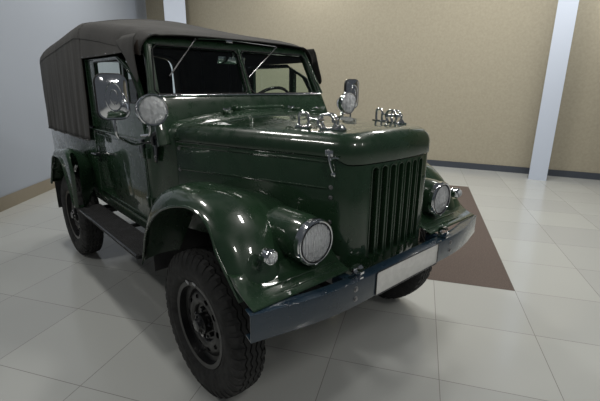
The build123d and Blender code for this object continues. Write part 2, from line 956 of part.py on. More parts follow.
with BuildPart() as slot_rims:
    add(grille_slots(grille_lip))
    with BuildSketch(plan_plane(grille_bottom)):
        add(nose_plan(grille_lip))
    extrude(amount=nose_lip_z - grille_bottom, mode=Mode.INTERSECT)

with BuildPart() as grille:
    with BuildSketch(plan_plane(grille_bottom)):
        add(nose_plan(0))
        add(nose_plan(-grille_sheet), mode=Mode.SUBTRACT)
        with Locations((0, nose_seam + 1000)):
            Rectangle(2000, 2000, mode=Mode.SUBTRACT)
    extrude(amount=nose_lip_z - grille_bottom)
    add(above_lip(panel_gap), mode=Mode.SUBTRACT)
    add(slot_rims.part)
    add(grille_slots(0), mode=Mode.SUBTRACT)
finish(grille, "grille")

with BuildPart() as radiator:
    with Locations((0, behind(-400), (rail_top - crossmember_drop + 1180) / 2)):
        Box(500, 60, 1180 - rail_top + crossmember_drop)
finish(radiator, "radiator")

# Bonnet: the nose's plan under a crowned top, with a broad round along its edge


def crown_section(crown_z):
    """A section across the bonnet before its sides are cut: only its top is curved."""
    half = body_half_width
    drop = hood_crown_radius - sqrt(hood_crown_radius**2 - half**2)
    with BuildSketch() as section:
        with BuildLine():
            crown = ThreePointArc((-half, crown_z - drop), (0, crown_z), (half, crown_z - drop))
            Polyline(crown @ 1, (half, hood_front_lip_z - 100), (-half, hood_front_lip_z - 100), crown @ 0)
        make_face()
    return section.sketch


def hood_block(inset):
    """The solid inside the bonnet's skin, smaller all round by inset."""
    with BuildPart() as block:
        with BuildSketch(plan_plane(hood_front_lip_z - 60)):
            add(nose_plan(panel_gap - inset))
        extrude(amount=400)
        with BuildPart(mode=Mode.INTERSECT):
            with BuildSketch(cross_plane(nose_front - 60)):
                add(crown_section(hood_crown_front - inset))
            with BuildSketch(cross_plane(hood_rear)):
                add(crown_section(hood_crown_rear - inset))
            loft(ruled=True)
        top = block.faces().sort_by(Axis.Z)[-1]
        fillet(
            top.edges().filter_by_position(Axis.Y, behind(nose_front - 60), behind(hood_rear - 2)),
            radius=hood_edge_radius - inset,
        )
    return block.part


with BuildPart() as hood:
    add(hood_block(0))
    add(hood_block(sheet), mode=Mode.SUBTRACT)
    add(above_lip(0), mode=Mode.INTERSECT)
    largest = hood.part.solids().sort_by(SortBy.VOLUME)[-1]
with BuildPart() as hood:
    add(largest)
    for side in (-1, 1):
        hinge_line = Location((side * hood_hinge_x, behind(hood_hinge_station), hood_hinge_z))
        with Locations(hinge_line * Location((0, -leaf_length / 2, -2))):
            Box(door_barrel_length, leaf_length, leaf_sheet)
        with Locations(hinge_line * Location((0, -leaf_length, -6))):
            Box(
                door_barrel_length,
                leaf_length - hood_hinge_pad_gap,
                hood_hinge_pad,
                align=(Align.CENTER, Align.MIN, Align.MAX),
            )
        with Locations(hinge_line):
            Cylinder(barrel_seat, door_barrel_length + 2, rotation=(0, 90, 0), mode=Mode.SUBTRACT)
finish(hood, "hood")

# Windscreen: a two-pane frame that leans back from the cowl

tilt = radians(screen_tilt)
screen_plane = Plane(
    origin=(0, behind(screen_station), screen_station_z),
    x_dir=(1, 0, 0),
    z_dir=(0, -cos(tilt), sin(tilt)),
)
screen_top = (screen_top_z - screen_station_z) / cos(tilt)
screen_glass_bottom = (screen_glass_bottom_z - screen_station_z) / cos(tilt)
screen_foot = (1190 - screen_station_z) / cos(tilt)


def screen_half(height):
    """Half the windscreen's width at a height above its plane's origin."""
    return screen_top_half + (screen_bottom_half - screen_top_half) * (screen_top - height) / (
        screen_top - screen_foot
    )


def screen_pane(inset):
    """The right-hand pane, seen from the front, smaller all round by inset."""
    low = screen_glass_bottom + inset
    high = screen_top - screen_rail - inset
    inner = screen_post / 2 + inset
    with BuildSketch() as pane:
        with BuildLine():
            Polyline(
                (inner, low),
                (screen_half(low) - screen_rail - inset, low),
                (screen_half(high) - screen_rail - inset, high),
                (inner, high),
                close=True,
            )
        make_face()
        fillet(pane.vertices(), radius=22)
    return pane.sketch


with BuildPart() as windscreen_frame:
    with BuildSketch(screen_plane.offset(-screen_frame_sheet / 2)) as windscreen_outline:
        with BuildLine():
            Polyline(
                (-screen_half(screen_foot), screen_foot),
                (screen_half(screen_foot), screen_foot),
                (screen_half(screen_top), screen_top),
                (-screen_half(screen_top), screen_top),
                close=True,
            )
        make_face()
        fillet(windscreen_outline.vertices().group_by(Axis.Y)[-1], radius=70)
        add(screen_pane(0), mode=Mode.SUBTRACT)
        mirror(screen_pane(0), about=Plane.YZ, mode=Mode.SUBTRACT)
    extrude(amount=screen_frame_sheet)
    add(cowl_block.part, mode=Mode.SUBTRACT)
finish(windscreen_frame, "windscreen_frame")

with BuildPart() as windscreen_glass:
    with BuildSketch(screen_plane.offset(-glass_sheet / 2)):
        add(screen_pane(running_gap))
        mirror(screen_pane(running_gap), about=Plane.YZ)
    extrude(amount=glass_sheet)
finish(windscreen_glass, "windscreen_glass")

# Front fenders: a crowned skin swept over the arch, a side skirt and the lamp nacelle

fender_arch = (
    # station, z: corners of the arch from its rear foot to its front foot
    (522, 570),
    (286, fender_top_z),
    (-285, fender_top_z),
    (-498, 745),
)
with BuildLine(side_plane(0)) as arch_line:
    FilletPolyline(*fender_arch, radius=410)
rear_leg = Vector(0, fender_arch[1][0] - fender_arch[0][0], fender_arch[1][1] - fender_arch[0][1])
arch_start = Plane(
    origin=(0, behind(fender_arch[0][0]), fender_arch[0][1]), x_dir=(1, 0, 0), z_dir=rear_leg.normalized()
)
with BuildSketch() as fender_profile:
    with BuildLine():
        valley = ThreePointArc((330, -70), (470, -50), (600, -12))
        crown = TangentArc(valley @ 1, (800, 0), tangent=valley % 1)
        roll = TangentArc(crown @ 1, (fender_half_width, -95), tangent=crown % 1)
        Polyline(
            roll @ 1,
            (fender_half_width, -128),
            (fender_half_width - sheet, -128),
            (fender_half_width - sheet, -95),
        )
        inner_roll = ThreePointArc((fender_half_width - sheet, -95), (848, -35), (797, -sheet))
        inner_crown = ThreePointArc((797, -sheet), (720, 1), (602, -12 - sheet))
        inner_valley = ThreePointArc((602, -12 - sheet), (470, -50 - sheet), (330, -70 - sheet))
        Line(inner_valley @ 1, valley @ 0)
    make_face()

fender_opening = (
    # station, z: up the rear edge, over the top and down the front edge
    (466, 596),
    (237, 880),
    (-101, 1019),
    (-235, 992),
    (-330, 900),
    (-522, 664),
)

nacelle_inner = headlamp_x + headlamp_radius

with BuildPart() as lamp_mouth:
    with BuildSketch(side_plane(headlamp_x)):
        with BuildLine():
            Polyline(
                (headlamp_station, headlamp_z),
                (headlamp_station, headlamp_z + headlamp_radius - 10),
                (headlamp_station + 210, headlamp_z + headlamp_radius - 10),
                (headlamp_station + 285, headlamp_z + 50),
                (headlamp_station + 295, headlamp_z),
                close=True,
            )
        make_face()
    revolve(axis=Axis((headlamp_x, 0, headlamp_z), (0, 1, 0)))

with BuildPart() as fender_front:
    with BuildSketch(arch_start):
        add(fender_profile.sketch)
    sweep(path=arch_line.line)
    with BuildSketch(side_plane(nacelle_inner + 100)):
        with BuildLine():
            rear_edge = ThreePointArc(*fender_opening[:3])
            front_edge = ThreePointArc(*fender_opening[2:5])
            Polyline(
                front_edge @ 1,
                fender_opening[5],
                (fender_opening[5][0], 300),
                (fender_opening[0][0] + 100, 300),
                rear_edge @ 0,
            )
        make_face()
    extrude(amount=300, mode=Mode.SUBTRACT)
    with BuildSketch(side_plane(headlamp_x)):
        with BuildLine():
            Polyline(
                (headlamp_station + 8, headlamp_z),
                (headlamp_station + 8, headlamp_z + headlamp_radius - 2),
                (headlamp_station + 50, headlamp_z + headlamp_radius + 4),
                (headlamp_station + 220, headlamp_z + headlamp_radius + 6),
                (headlamp_station + 300, headlamp_z + 60),
                (headlamp_station + 310, headlamp_z),
                close=True,
            )
        make_face()
    revolve(axis=Axis((headlamp_x, 0, headlamp_z), (0, 1, 0)))
    add(lamp_mouth.part, mode=Mode.SUBTRACT)
    with BuildSketch(plan_plane(grille_bottom - 200)):
        add(nose_outline(-900, 900, 0))
    extrude(amount=1200, mode=Mode.SUBTRACT)
    add(cowl_block.part, mode=Mode.SUBTRACT)

with BuildPart() as fenders_front:
    add(fender_front.part.solids().sort_by(SortBy.VOLUME)[-1])
    mirror(about=Plane.YZ)
finish(fenders_front, "fenders_front")

# Front aprons: curved valances from the fenders' front slopes out over the bumper

apron_top = Vector(-446, 823)
apron_foot = Vector(-568, 742)
front_slope = Vector(fender_arch[3][0] - fender_arch[2][0], fender_arch[3][1] - fender_arch[2][1])
with BuildPart() as front_aprons:
    with BuildSketch(side_plane(hood_half_width(nose_seam))):
        with BuildLine():
            outer = TangentArc(apron_top, apron_foot, tangent=front_slope.normalized())
            lip = Line(outer @ 1, outer @ 1 + Vector(-4, -6))
            foot = Line(lip @ 1, lip @ 1 + Vector(apron_sheet, -1))
            under = ThreePointArc(
                foot @ 1, outer @ 0.5 + Vector(apron_sheet, -apron_sheet), apron_top + Vector(70, -apron_sheet)
            )
            Polyline(under @ 1, apron_top + Vector(70, 0), outer @ 0)
        make_face()
    extrude(amount=fender_half_width - 20 - hood_half_width(nose_seam))
    for height in (0.55, 0.8):
        bead = outer @ height
        with Locations(
            Location(
                ((hood_half_width(nose_seam) + nacelle_inner) / 2 + 60, front_axle_y + bead.X, bead.Y), (0, 90, 0)
            )
        ):
            Cylinder(5, 340)
    with BuildSketch(plan_plane(grille_bottom - 200)):
        add(nose_outline(-900, 900, 0))
    extrude(amount=1200, mode=Mode.SUBTRACT)
    add(fender_front.part, mode=Mode.SUBTRACT)
    add(lamp_mouth.part, mode=Mode.SUBTRACT)
    left_apron = front_aprons.part.solids().sort_by(SortBy.VOLUME)[-1]
with BuildPart() as front_aprons:
    add(left_apron)
    mirror(about=Plane.YZ)
finish(front_aprons, "front_aprons")

# Rear fenders: a shell over each rear wheel. The left one has the spare wheel's recess.

rear_arch_outer = (
    # station, z: from the front foot over the top to the rear foot, at the outside
    (1690, 580),
    (1662, 1078),
    (2290, 985),
    (2640, 640),
)
rear_arch_inner = (
    # the same against the body's side
    (1880, 580),
    (1846, 985),
    (2270, 960),
    (2620, 640),
)
rear_edge_radius = 40
rear_opening = (
    # station, z: up the front edge, over the wheel and down the rear edge
    (1775, 550),
    (2010, 935),
    (2290, 930),
    (2560, 600),
)


def rear_opening_cut():
    """The wheel's opening in a rear fender's outside."""
    with BuildPart() as cut:
        with BuildSketch(side_plane(body_half_width - 1)):
            with BuildLine():
                FilletPolyline(*rear_opening, radius=150)
                Polyline(rear_opening[-1], (rear_opening[-1][0], 400), (rear_opening[0][0], 400), rear_opening[0])
            make_face()
        extrude(amount=400)
    return cut.part


def rear_fender_block(inset):
    """The solid inside the rear fender's skin: its face turns forwards as it runs out."""
    with BuildPart() as block:
        for x, arch in (
            (body_half_width - (1 if inset else 0), rear_arch_inner),
            (fender_half_width - inset, rear_arch_outer),
        ):
            with BuildSketch(side_plane(x)):
                with BuildLine():
                    FilletPolyline(*arch, radius=165)
                    Line(arch[-1], arch[0])
                make_face()
                if inset:
                    offset(amount=-inset)
        loft(ruled=True)
        fillet(block.faces().sort_by(Axis.X)[-1].edges().sort_by(Axis.Z)[1:], radius=rear_edge_radius - inset)
        if inset:
            with BuildSketch(side_plane(body_half_width - 1)):
                with Locations(((rear_arch_inner[0][0] + rear_arch_inner[-1][0]) / 2, rear_arch_inner[0][1] - 40)):
                    Rectangle(rear_arch_inner[-1][0] - rear_arch_inner[0][0] - 120, 140)
                with Locations((wheelbase, axle_z)):
                    Circle(tyre_radius + 20)
            extrude(amount=fender_half_width - inset - body_half_width)
    return block.part


with BuildPart() as rear_fender_right:
    add(rear_fender_block(0))
    add(rear_fender_block(sheet), mode=Mode.SUBTRACT)
    add(rear_opening_cut(), mode=Mode.SUBTRACT)

recess_x = spare_x - tyre_width / 2 - spare_recess
with BuildPart() as rear_fender_left:
    add(rear_fender_block(0))
    with BuildSketch(side_plane(recess_x)):
        with Locations((spare_station, spare_z)):
            Circle(tyre_radius + spare_recess)
    extrude(amount=400, mode=Mode.SUBTRACT)
    with BuildPart(mode=Mode.PRIVATE) as hollow_left:
        add(rear_fender_block(sheet))
        with BuildSketch(side_plane(recess_x - sheet)):
            with Locations((spare_station, spare_z)):
                Circle(tyre_radius + spare_recess + sheet)
        extrude(amount=400, mode=Mode.SUBTRACT)
    add(hollow_left.part, mode=Mode.SUBTRACT)
    add(rear_opening_cut(), mode=Mode.SUBTRACT)

with BuildPart() as fenders_rear:
    add(rear_fender_left.part.solids().sort_by(SortBy.VOLUME)[-1])
    add(mirror(rear_fender_right.part, about=Plane.YZ, mode=Mode.PRIVATE))
finish(fenders_rear, "fenders_rear")

# Spare wheel's disc on its carrier, bolted to the recess wall

with BuildPart() as spare_wheel_disc:
    add(spare_disc.part)
    with BuildSketch(Plane(origin=(recess_x, behind(spare_station), spare_z), x_dir=(0, 1, 0), z_dir=(1, 0, 0))):
        Circle(95)
    extrude(amount=6)
    with BuildSketch(Plane(origin=(recess_x, behind(spare_station), spare_z), x_dir=(0, 1, 0), z_dir=(1, 0, 0))):
        Circle(hub_radius)
    extrude(amount=spare_x + 34 - recess_x)
finish(spare_wheel_disc, "wheel_disc_spare")

# Running boards with their brackets from the frame

with BuildPart() as running_boards:
    with BuildSketch(plan_plane(board_top_z - board_sheet)):
        with Locations(((body_half_width + fender_half_width - 15) / 2, (board_front + board_rear) / 2)):
            RectangleRounded(fender_half_width - 15 - body_half_width, board_rear - board_front, 12)
    extrude(amount=board_sheet)
    for station in (board_front + 120, (board_front + board_rear) / 2, board_rear - 120):
        bracket_inner = rail_x + rail_width / 2
        with Locations(
            ((bracket_inner + fender_half_width - 60) / 2, behind(station), board_top_z - board_sheet - 9)
        ):
            Box(fender_half_width - 60 - bracket_inner, 40, 18)
    mirror(about=Plane.YZ)
finish(running_boards, "running_boards")

# Headlamps: chrome rim and bucket in the nacelle's mouth, and their lenses

with BuildPart() as headlamps:
    with BuildSketch(side_plane(headlamp_x)):
        with BuildLine():
            Polyline(
                (headlamp_station + 8 - running_gap, headlamp_z + headlamp_radius),
                (headlamp_station - 14, headlamp_z + headlamp_radius),
                (headlamp_station - 22, headlamp_z + headlamp_radius - 8),
                (headlamp_station - 18, headlamp_z + headlamp_radius - 16),
                (headlamp_station, headlamp_z + headlamp_radius - 20),
                (headlamp_station + 56, headlamp_z + 40),
                (headlamp_station + 62, headlamp_z),
                (headlamp_station + 66, headlamp_z),
                (headlamp_station + 60, headlamp_z + 44),
                (headlamp_station + 8 - running_gap, headlamp_z + headlamp_radius - 12),
                close=True,
            )
        make_face()
    revolve(axis=Axis((headlamp_x, 0, headlamp_z), (0, 1, 0)))
    mirror(about=Plane.YZ)
finish(headlamps, "headlamps")

with BuildPart() as headlamp_lenses:
    with BuildSketch(side_plane(headlamp_x)):
        with BuildLine():
            lens_face = ThreePointArc(
                (headlamp_station - 32, headlamp_z),
                (headlamp_station - 27, headlamp_z + 45),
                (headlamp_station - 17, headlamp_z + headlamp_radius - 17),
            )
            Polyline(
                lens_face @ 1,
                (headlamp_station - 11, headlamp_z + headlamp_radius - 18),
                (headlamp_station - 22, headlamp_z + 45),
                (headlamp_station - 26, headlamp_z),
                lens_face @ 0,
            )
        make_face()
    revolve(axis=Axis((headlamp_x, 0, headlamp_z), (0, 1, 0)))
    mirror(about=Plane.YZ)
finish(headlamp_lenses, "headlamp_lenses")

# Small lamps: marker bullets on stems from the fenders' front slopes, and tail lamps

slope = Vector(
    0, fender_arch[2][0] - fender_arch[3][0], fender_arch[2][1] - fender_arch[3][1]
).normalized()
slope_out = Vector(0, -slope.Z, slope.Y)
marker_centre = Vector(marker_x, behind(marker_station), marker_z)
slope_point = Vector(marker_x, behind(fender_arch[3][0]), fender_arch[3][1])
marker_height = (marker_centre - slope_point).dot(slope_out)
with BuildPart() as small_lamps:
    with BuildSketch(side_plane(marker_x)):
        with BuildLine():
            Polyline(
                (marker_station - 34, marker_z),
                (marker_station - 30, marker_z + 20),
                (marker_station - 18, marker_z + marker_radius),
                (marker_station + 10, marker_z + marker_radius - 2),
                (marker_station + 44, marker_z + 12),
                (marker_station + 48, marker_z),
                close=True,
            )
        make_face()
    revolve(axis=Axis((marker_x, 0, marker_z), (0, 1, 0)))
    with BuildSketch(Plane(origin=marker_centre, x_dir=(1, 0, 0), z_dir=-slope_out)):
        Circle(10)
    extrude(amount=marker_height - 8)
    add(fenders_front.part, mode=Mode.SUBTRACT)
    with BuildSketch(Plane(origin=(622, behind(body_rear), 790), x_dir=(1, 0, 0), z_dir=(0, 1, 0))):
        Circle(36)
    extrude(amount=22)
    mirror(about=Plane.YZ)
finish(small_lamps, "small_lamps")

# Bumper: a swept channel with brackets to the frame, and two tow hooks on it

bumper_face = -front_overhang
bumper_height = bumper_top - bumper_bottom
with BuildPart() as bumper_front:
    with BuildLine(plan_plane(bumper_bottom)) as bumper_line:
        FilletPolyline(
            (-fender_half_width, bumper_tip_station),
            (-540, bumper_face),
            (540, bumper_face),
            (fender_half_width, bumper_tip_station),
            radius=1400,
        )
    bumper_start = bumper_line.line % 0
    with BuildSketch(
        Plane(origin=bumper_line.line @ 0, x_dir=Vector(0, 0, 1).cross(bumper_start), z_dir=bumper_start)
    ):
        Rectangle(bumper_depth, bumper_height, align=(Align.MIN, Align.MIN))
        with Locations((bumper_sheet, bumper_sheet)):
            Rectangle(
                bumper_depth,
                bumper_height - 2 * bumper_sheet,
                align=(Align.MIN, Align.MIN),
                mode=Mode.SUBTRACT,
            )
    sweep()
    bracket_front = bumper_face + bumper_sheet
    for side in (-1, 1):
        with Locations((side * rail_x, behind((bracket_front + rail_front + 70) / 2), (rail_top + bumper_top) / 2)):
            Box(spring_width, rail_front + 70 - bracket_front, bumper_top - rail_top - 2 * bumper_sheet)
        with Locations((side * rail_x, behind(rail_front + 35), rail_top + 10)):
            Box(spring_width, 70, 20)
finish(bumper_front, "bumper_front")

hook_x = 357
hook_station = -632
with BuildPart() as tow_hooks:
    with BuildSketch(side_plane(hook_x - 11)):
        with Locations((hook_station, bumper_top + 4)):
            Rectangle(50, 8)
        with Locations((hook_station, bumper_top + 32)):
            Circle(27)
            Circle(13, mode=Mode.SUBTRACT)
            with Locations((-20, 8)):
                Rectangle(24, 14, mode=Mode.SUBTRACT)
    extrude(amount=22)
    mirror(about=Plane.YZ)
finish(tow_hooks, "tow_hooks")

# Rear: bumperettes on the frame's ends

with BuildPart() as bumperettes:
    for side in (-1, 1):
        with Locations((side * 480, (rear_face_y + behind(rail_rear)) / 2, rail_bottom + 45)):
            Box(260, 10, 80)
        with Locations((side * rail_x, (rear_face_y + behind(rail_rear)) / 2, rail_bottom + 45)):
            Box(spring_width, rear_face_y - behind(rail_rear), 60)
        with Locations((side * 480, rear_face_y - 20, rail_bottom + 45)):
            Box(260, 40, 80)
    fillet(bumperettes.edges().filter_by(Axis.Z).group_by(Axis.Y)[-1], radius=16)
finish(bumperettes, "bumperettes")

# Spotlights and mirrors on arms from the cowl's sides

arm_foot_station = 640
arm_foot_z = 1200
arm_foot_x = cowl_half_width(arm_foot_station) - 6
with BuildPart() as spotlights:
    with BuildSketch(side_plane(spot_x)):
        with BuildLine():
            Polyline(
                (spot_station - 34, spot_z),
                (spot_station - 28, spot_z + spot_radius - 12),
                (spot_station - 22, spot_z + spot_radius),
                (spot_station - 4, spot_z + spot_radius),
                (spot_station + 40, spot_z + spot_radius - 26),
                (spot_station + 74, spot_z + 26),
                (spot_station + 80, spot_z),
                close=True,
            )
        make_face()
    revolve(axis=Axis((spot_x, 0, spot_z), (0, 1, 0)))
    with BuildLine():
        FilletPolyline(
            (arm_foot_x, behind(arm_foot_station), arm_foot_z + 40),
            (spot_x, behind(arm_foot_station - 20), arm_foot_z + 42),
            (spot_x, behind(spot_station + 30), arm_foot_z + 60),
            (spot_x, behind(spot_station + 26), spot_z - 50),
            radius=24,
        )
    with BuildSketch(
        Plane(
            origin=(arm_foot_x, behind(arm_foot_station), arm_foot_z + 40),
            x_dir=(0, 1, 0),
            z_dir=(spot_x - arm_foot_x, -20, 2),
        )
    ):
        Circle(8)
    sweep()
    add(cowl_block.part, mode=Mode.SUBTRACT)
    add(windscreen_frame.part, mode=Mode.SUBTRACT)
    mirror(about=Plane.YZ)
finish(spotlights, "spotlights")

with BuildPart() as mirrors:
    with Locations((mirror_x, behind(mirror_station), mirror_z)):
        Box(mirror_width, mirror_sheet, mirror_height)
    fillet(mirrors.edges().filter_by(Axis.Y), radius=40)
    with BuildLine():
        FilletPolyline(
            (arm_foot_x, behind(arm_foot_station), arm_foot_z),
            (arm_foot_x + 130, behind(arm_foot_station - 40), arm_foot_z),
            (mirror_x, behind(mirror_station), arm_foot_z + 60),
            (mirror_x, behind(mirror_station), mirror_z - mirror_height / 2 + 4),
            radius=40,
        )
    with BuildSketch(
        Plane(origin=(arm_foot_x, behind(arm_foot_station), arm_foot_z), x_dir=(0, 0, 1), z_dir=(130, -40, 0))
    ):
        Circle(7)
    sweep()
    add(cowl_block.part, mode=Mode.SUBTRACT)
    mirror(about=Plane.YZ)
finish(mirrors, "mirrors")

# Vent flap in the cowl's top

vent_front = hood_rear + 16
vent_rear = 580
vent_pin_radius = 2
with BuildPart() as vent_flap:
    with BuildSketch(plan_plane(hood_crown_rear - 30)):
        with Locations((0, (vent_front + vent_rear) / 2)):
            RectangleRounded(380, vent_rear - vent_front, 30)
    extrude(amount=58)
    fillet(vent_flap.faces().sort_by(Axis.Z)[-1].edges(), radius=18)
    with Locations((0, behind(vent_front), hood_crown_rear + vent_pin_radius + 0.5)):
        Cylinder(vent_pin_radius, 300, rotation=(0, 90, 0))
    add(cowl_block.part.moved(Location((0, 0, running_gap))), mode=Mode.SUBTRACT)
finish(vent_flap, "vent_flap")

# Dashboard, seats and benches

with BuildPart() as dashboard:
    with BuildSketch(side_plane(-inner_half)):
        with BuildLine():
            Polyline(
                (firewall_station + 90, 1120),
                (firewall_station + 104, 1120),
                (firewall_station + 74, 1262),
                (firewall_station + 60, 1262),
                close=True,
            )
        make_face()
    extrude(amount=2 * inner_half)
    add(cowl.part, mode=Mode.SUBTRACT)
    with BuildSketch(Plane(origin=column_foot, x_dir=(1, 0, 0), z_dir=column_along)):
        Circle(column_radius + 8)
    extrude(amount=column_length, mode=Mode.SUBTRACT)
finish(dashboard, "dashboard")

seat_x = 345
seat_width = 470
seat_front = 1060
seat_rear = 1500
cushion_bottom = 850
cushion_sheet = 110
backrest_top = 1400
backrest_sheet = 95
seat_lean = 3.7
with BuildPart() as seat_cushions:
    with Locations((seat_x, behind((seat_front + seat_rear) / 2), cushion_bottom + cushion_sheet / 2)):
        Box(seat_width, seat_rear - seat_front, cushion_sheet)
    fillet(seat_cushions.edges(), radius=28)
    with BuildPart(mode=Mode.PRIVATE) as back:
        with BuildSketch(side_plane(seat_x - seat_width / 2)):
            with BuildLine():
                Polyline(
                    (seat_rear - seat_lean, cushion_bottom + 30),
                    (seat_rear - seat_lean + backrest_sheet, cushion_bottom + 30),
                    (seat_rear + 72 + backrest_sheet, backrest_top),
                    (seat_rear + 72, backrest_top),
                    close=True,
                )
            make_face()
        extrude(amount=seat_width)
        fillet(back.edges(), radius=26)
    add(back.part)
    mirror(about=Plane.YZ)
finish(seat_cushions, "seat_cushions")

with BuildPart() as seat_frames:
    with BuildSketch(plan_plane(rail_top + floor_sheet)):
        with Locations((seat_x, (seat_front + seat_rear) / 2)):
            Rectangle(seat_width - 60, seat_rear - seat_front - 40)
            Rectangle(seat_width - 90, seat_rear - seat_front - 70, mode=Mode.SUBTRACT)
    extrude(amount=cushion_bottom - running_gap - rail_top - floor_sheet)
    mirror(about=Plane.YZ)
finish(seat_frames, "seat_frames")

bench_front = 1740
bench_rear = body_rear - 102
with BuildPart() as benches:
    with Locations((inner_half - 160, behind((bench_front + bench_rear) / 2), house_top + 20)):
        Box(300, bench_rear - bench_front, 40)
    for station in (bench_front + 40, bench_rear - 40):
        with Locations((inner_half - 270, behind(station), (rail_top + floor_sheet + house_top) / 2)):
            Box(30, 40, house_top - rail_top - floor_sheet)
    with Locations((inner_half - 45, behind((bench_front + bench_rear) / 2), house_top + 250)):
        Box(24, bench_rear - bench_front, 90)
    for station in (bench_front + 100, bench_rear - 100):
        with Locations((inner_half - 45, behind(station), house_top + 140)):
            Box(24, 40, 240)
    mirror(about=Plane.YZ)
finish(benches, "benches")

# Tailgate between the rear corners

with BuildPart() as tailgate:
    with Locations((0, behind(body_rear - tailgate_sheet / 2), (tailgate_hinge_z + 8 + belt_z) / 2)):
        Box(2 * tailgate_half_width, tailgate_sheet - 2, belt_z - tailgate_hinge_z - 8)
    for side in (-1, 1):
        hinge_line = Location((side * tailgate_hinge_x, behind(tailgate_hinge_station), tailgate_hinge_z))
        with Locations(hinge_line * Location((0, -leaf_sheet / 2 - 1, leaf_length / 2))):
            Box(door_barrel_length, leaf_sheet, leaf_length)
        with Locations(hinge_line):
            Cylinder(barrel_seat, door_barrel_length + 2, rotation=(0, 90, 0), mode=Mode.SUBTRACT)
finish(tailgate, "tailgate")

# Doors: a pressed lower panel, an upper frame with two windows, and the panes

door_outline = (
    (door_front + panel_gap, door_bottom),
    (door_rear, door_bottom),
    (door_rear, belt_z),
    (door_front + panel_gap, belt_z),
)
upper_outline = (
    (door_front + panel_gap, belt_z),
    (door_rear, belt_z),
    (door_rear + 14, door_top_z),
    (1044, door_top_z - 4),
    (786, 1565),
    (door_front + panel_gap, 1440),
)
rear_window = ((1002, 1408), (1500, 1408), (1500, 1655), (1002, 1655))
front_window = ((770, 1408), (944, 1408), (944, 1618), (842, 1570), (770, 1478))


def side_sketch(points, radius):
    """A sketch of a closed outline of (station, z) points, its corners rounded."""
    with BuildSketch() as outline:
        with BuildLine():
            Polyline(*points, close=True)
        make_face()
        if radius:
            fillet(outline.vertices(), radius=radius)
    return outline.sketch


with BuildPart() as door:
    with BuildSketch(side_plane(body_half_width - door_sheet)):
        add(side_sketch(door_outline, 0))
    extrude(amount=door_sheet)
    with BuildSketch(side_plane(body_half_width - door_sheet)):
        add(side_sketch(upper_outline, 0))
        add(side_sketch(rear_window, 18), mode=Mode.SUBTRACT)
        add(side_sketch(front_window, 12), mode=Mode.SUBTRACT)
    extrude(amount=door_sheet - 8)
    for height in door_hinge_heights:
        with Locations(
            (body_half_width + leaf_sheet / 2, behind(door_hinge_station + 4 + leaf_length / 2), height)
        ):
            Box(leaf_sheet, leaf_length, door_barrel_length)
        with Locations((door_hinge_x, behind(door_hinge_station), height)):
            Cylinder(barrel_seat, door_barrel_length + 2, mode=Mode.SUBTRACT)

with BuildPart() as door_glass:
    with BuildSketch(side_plane(body_half_width - door_sheet + 8)):
        add(side_sketch(rear_window, 18))
        add(side_sketch(front_window, 12))
        offset(amount=-running_gap)
    extrude(amount=glass_sheet)

for name, builder in (("door", door), ("door_glass", door_glass)):
    finish(builder, f"{name}_left")
    with BuildPart() as right_hand:
        add(mirror(builder.part, about=Plane.YZ, mode=Mode.PRIVATE))
    finish(right_hand, f"{name}_right")

# Canopy: one curved shell, cut into the roof with its valance and the walls below


def canopy_section(station_half, crown_z, edge_z, inset):
    """A section across the canopy: straight walls, round corners and a shallow crown."""
    half = station_half - inset
    floor_z = canopy_hem_z if inset == 0 else canopy_hem_z - 20
    with BuildSketch() as section:
        with BuildLine():
            right = Line((canopy_half_width - inset, floor_z), (half, edge_z - 130))
            corner = ThreePointArc(
                right @ 1, (half - 26, edge_z - 40 - inset * 0.6), (half - 125, edge_z - inset)
            )
            crown = ThreePointArc(corner @ 1, (0, crown_z - inset), (-(half - 125), edge_z - inset))
            other = ThreePointArc(
                crown @ 1, (-(half - 26), edge_z - 40 - inset * 0.6), (-half, edge_z - 130)
            )
            Polyline(other @ 1, (-(canopy_half_width - inset), floor_z), right @ 0)
        make_face()
    return section.sketch


canopy_stations = (
    # station, half width at the corner, crown z, edge z
    (canopy_front, 668, 1810, 1792),
    (1850, 690, 2030, 1960),
    (canopy_bow_rear, 690, 1905, 1850),
    (canopy_rear, 688, 1850, 1800),
)
with BuildPart() as canopy_shell:
    for station, half, crown_z, edge_z in canopy_stations:
        with BuildSketch(cross_plane(station)):
            add(canopy_section(half, crown_z, edge_z, 0))
    loft(ruled=True)
    for station, half, crown_z, edge_z in canopy_stations:
        cut = -1 if station == canopy_front else 0
        cut = -canopy_sheet if station == canopy_rear else cut
        with BuildSketch(cross_plane(station + cut)):
            add(canopy_section(half, crown_z, edge_z, canopy_sheet))
    loft(ruled=True, mode=Mode.SUBTRACT)

with BuildPart() as canopy_roof:
    add(canopy_shell.part)
    with Locations((0, 0, canopy_eaves_z)):
        Box(2000, 6000, 3000, align=(Align.CENTER, Align.CENTER, Align.MAX), mode=Mode.SUBTRACT)
    with Locations((0, behind(canopy_rear), canopy_window_z)):
        Box(canopy_window[0], 3 * canopy_sheet, canopy_window[1], mode=Mode.SUBTRACT)
finish(canopy_roof, "canopy_roof")

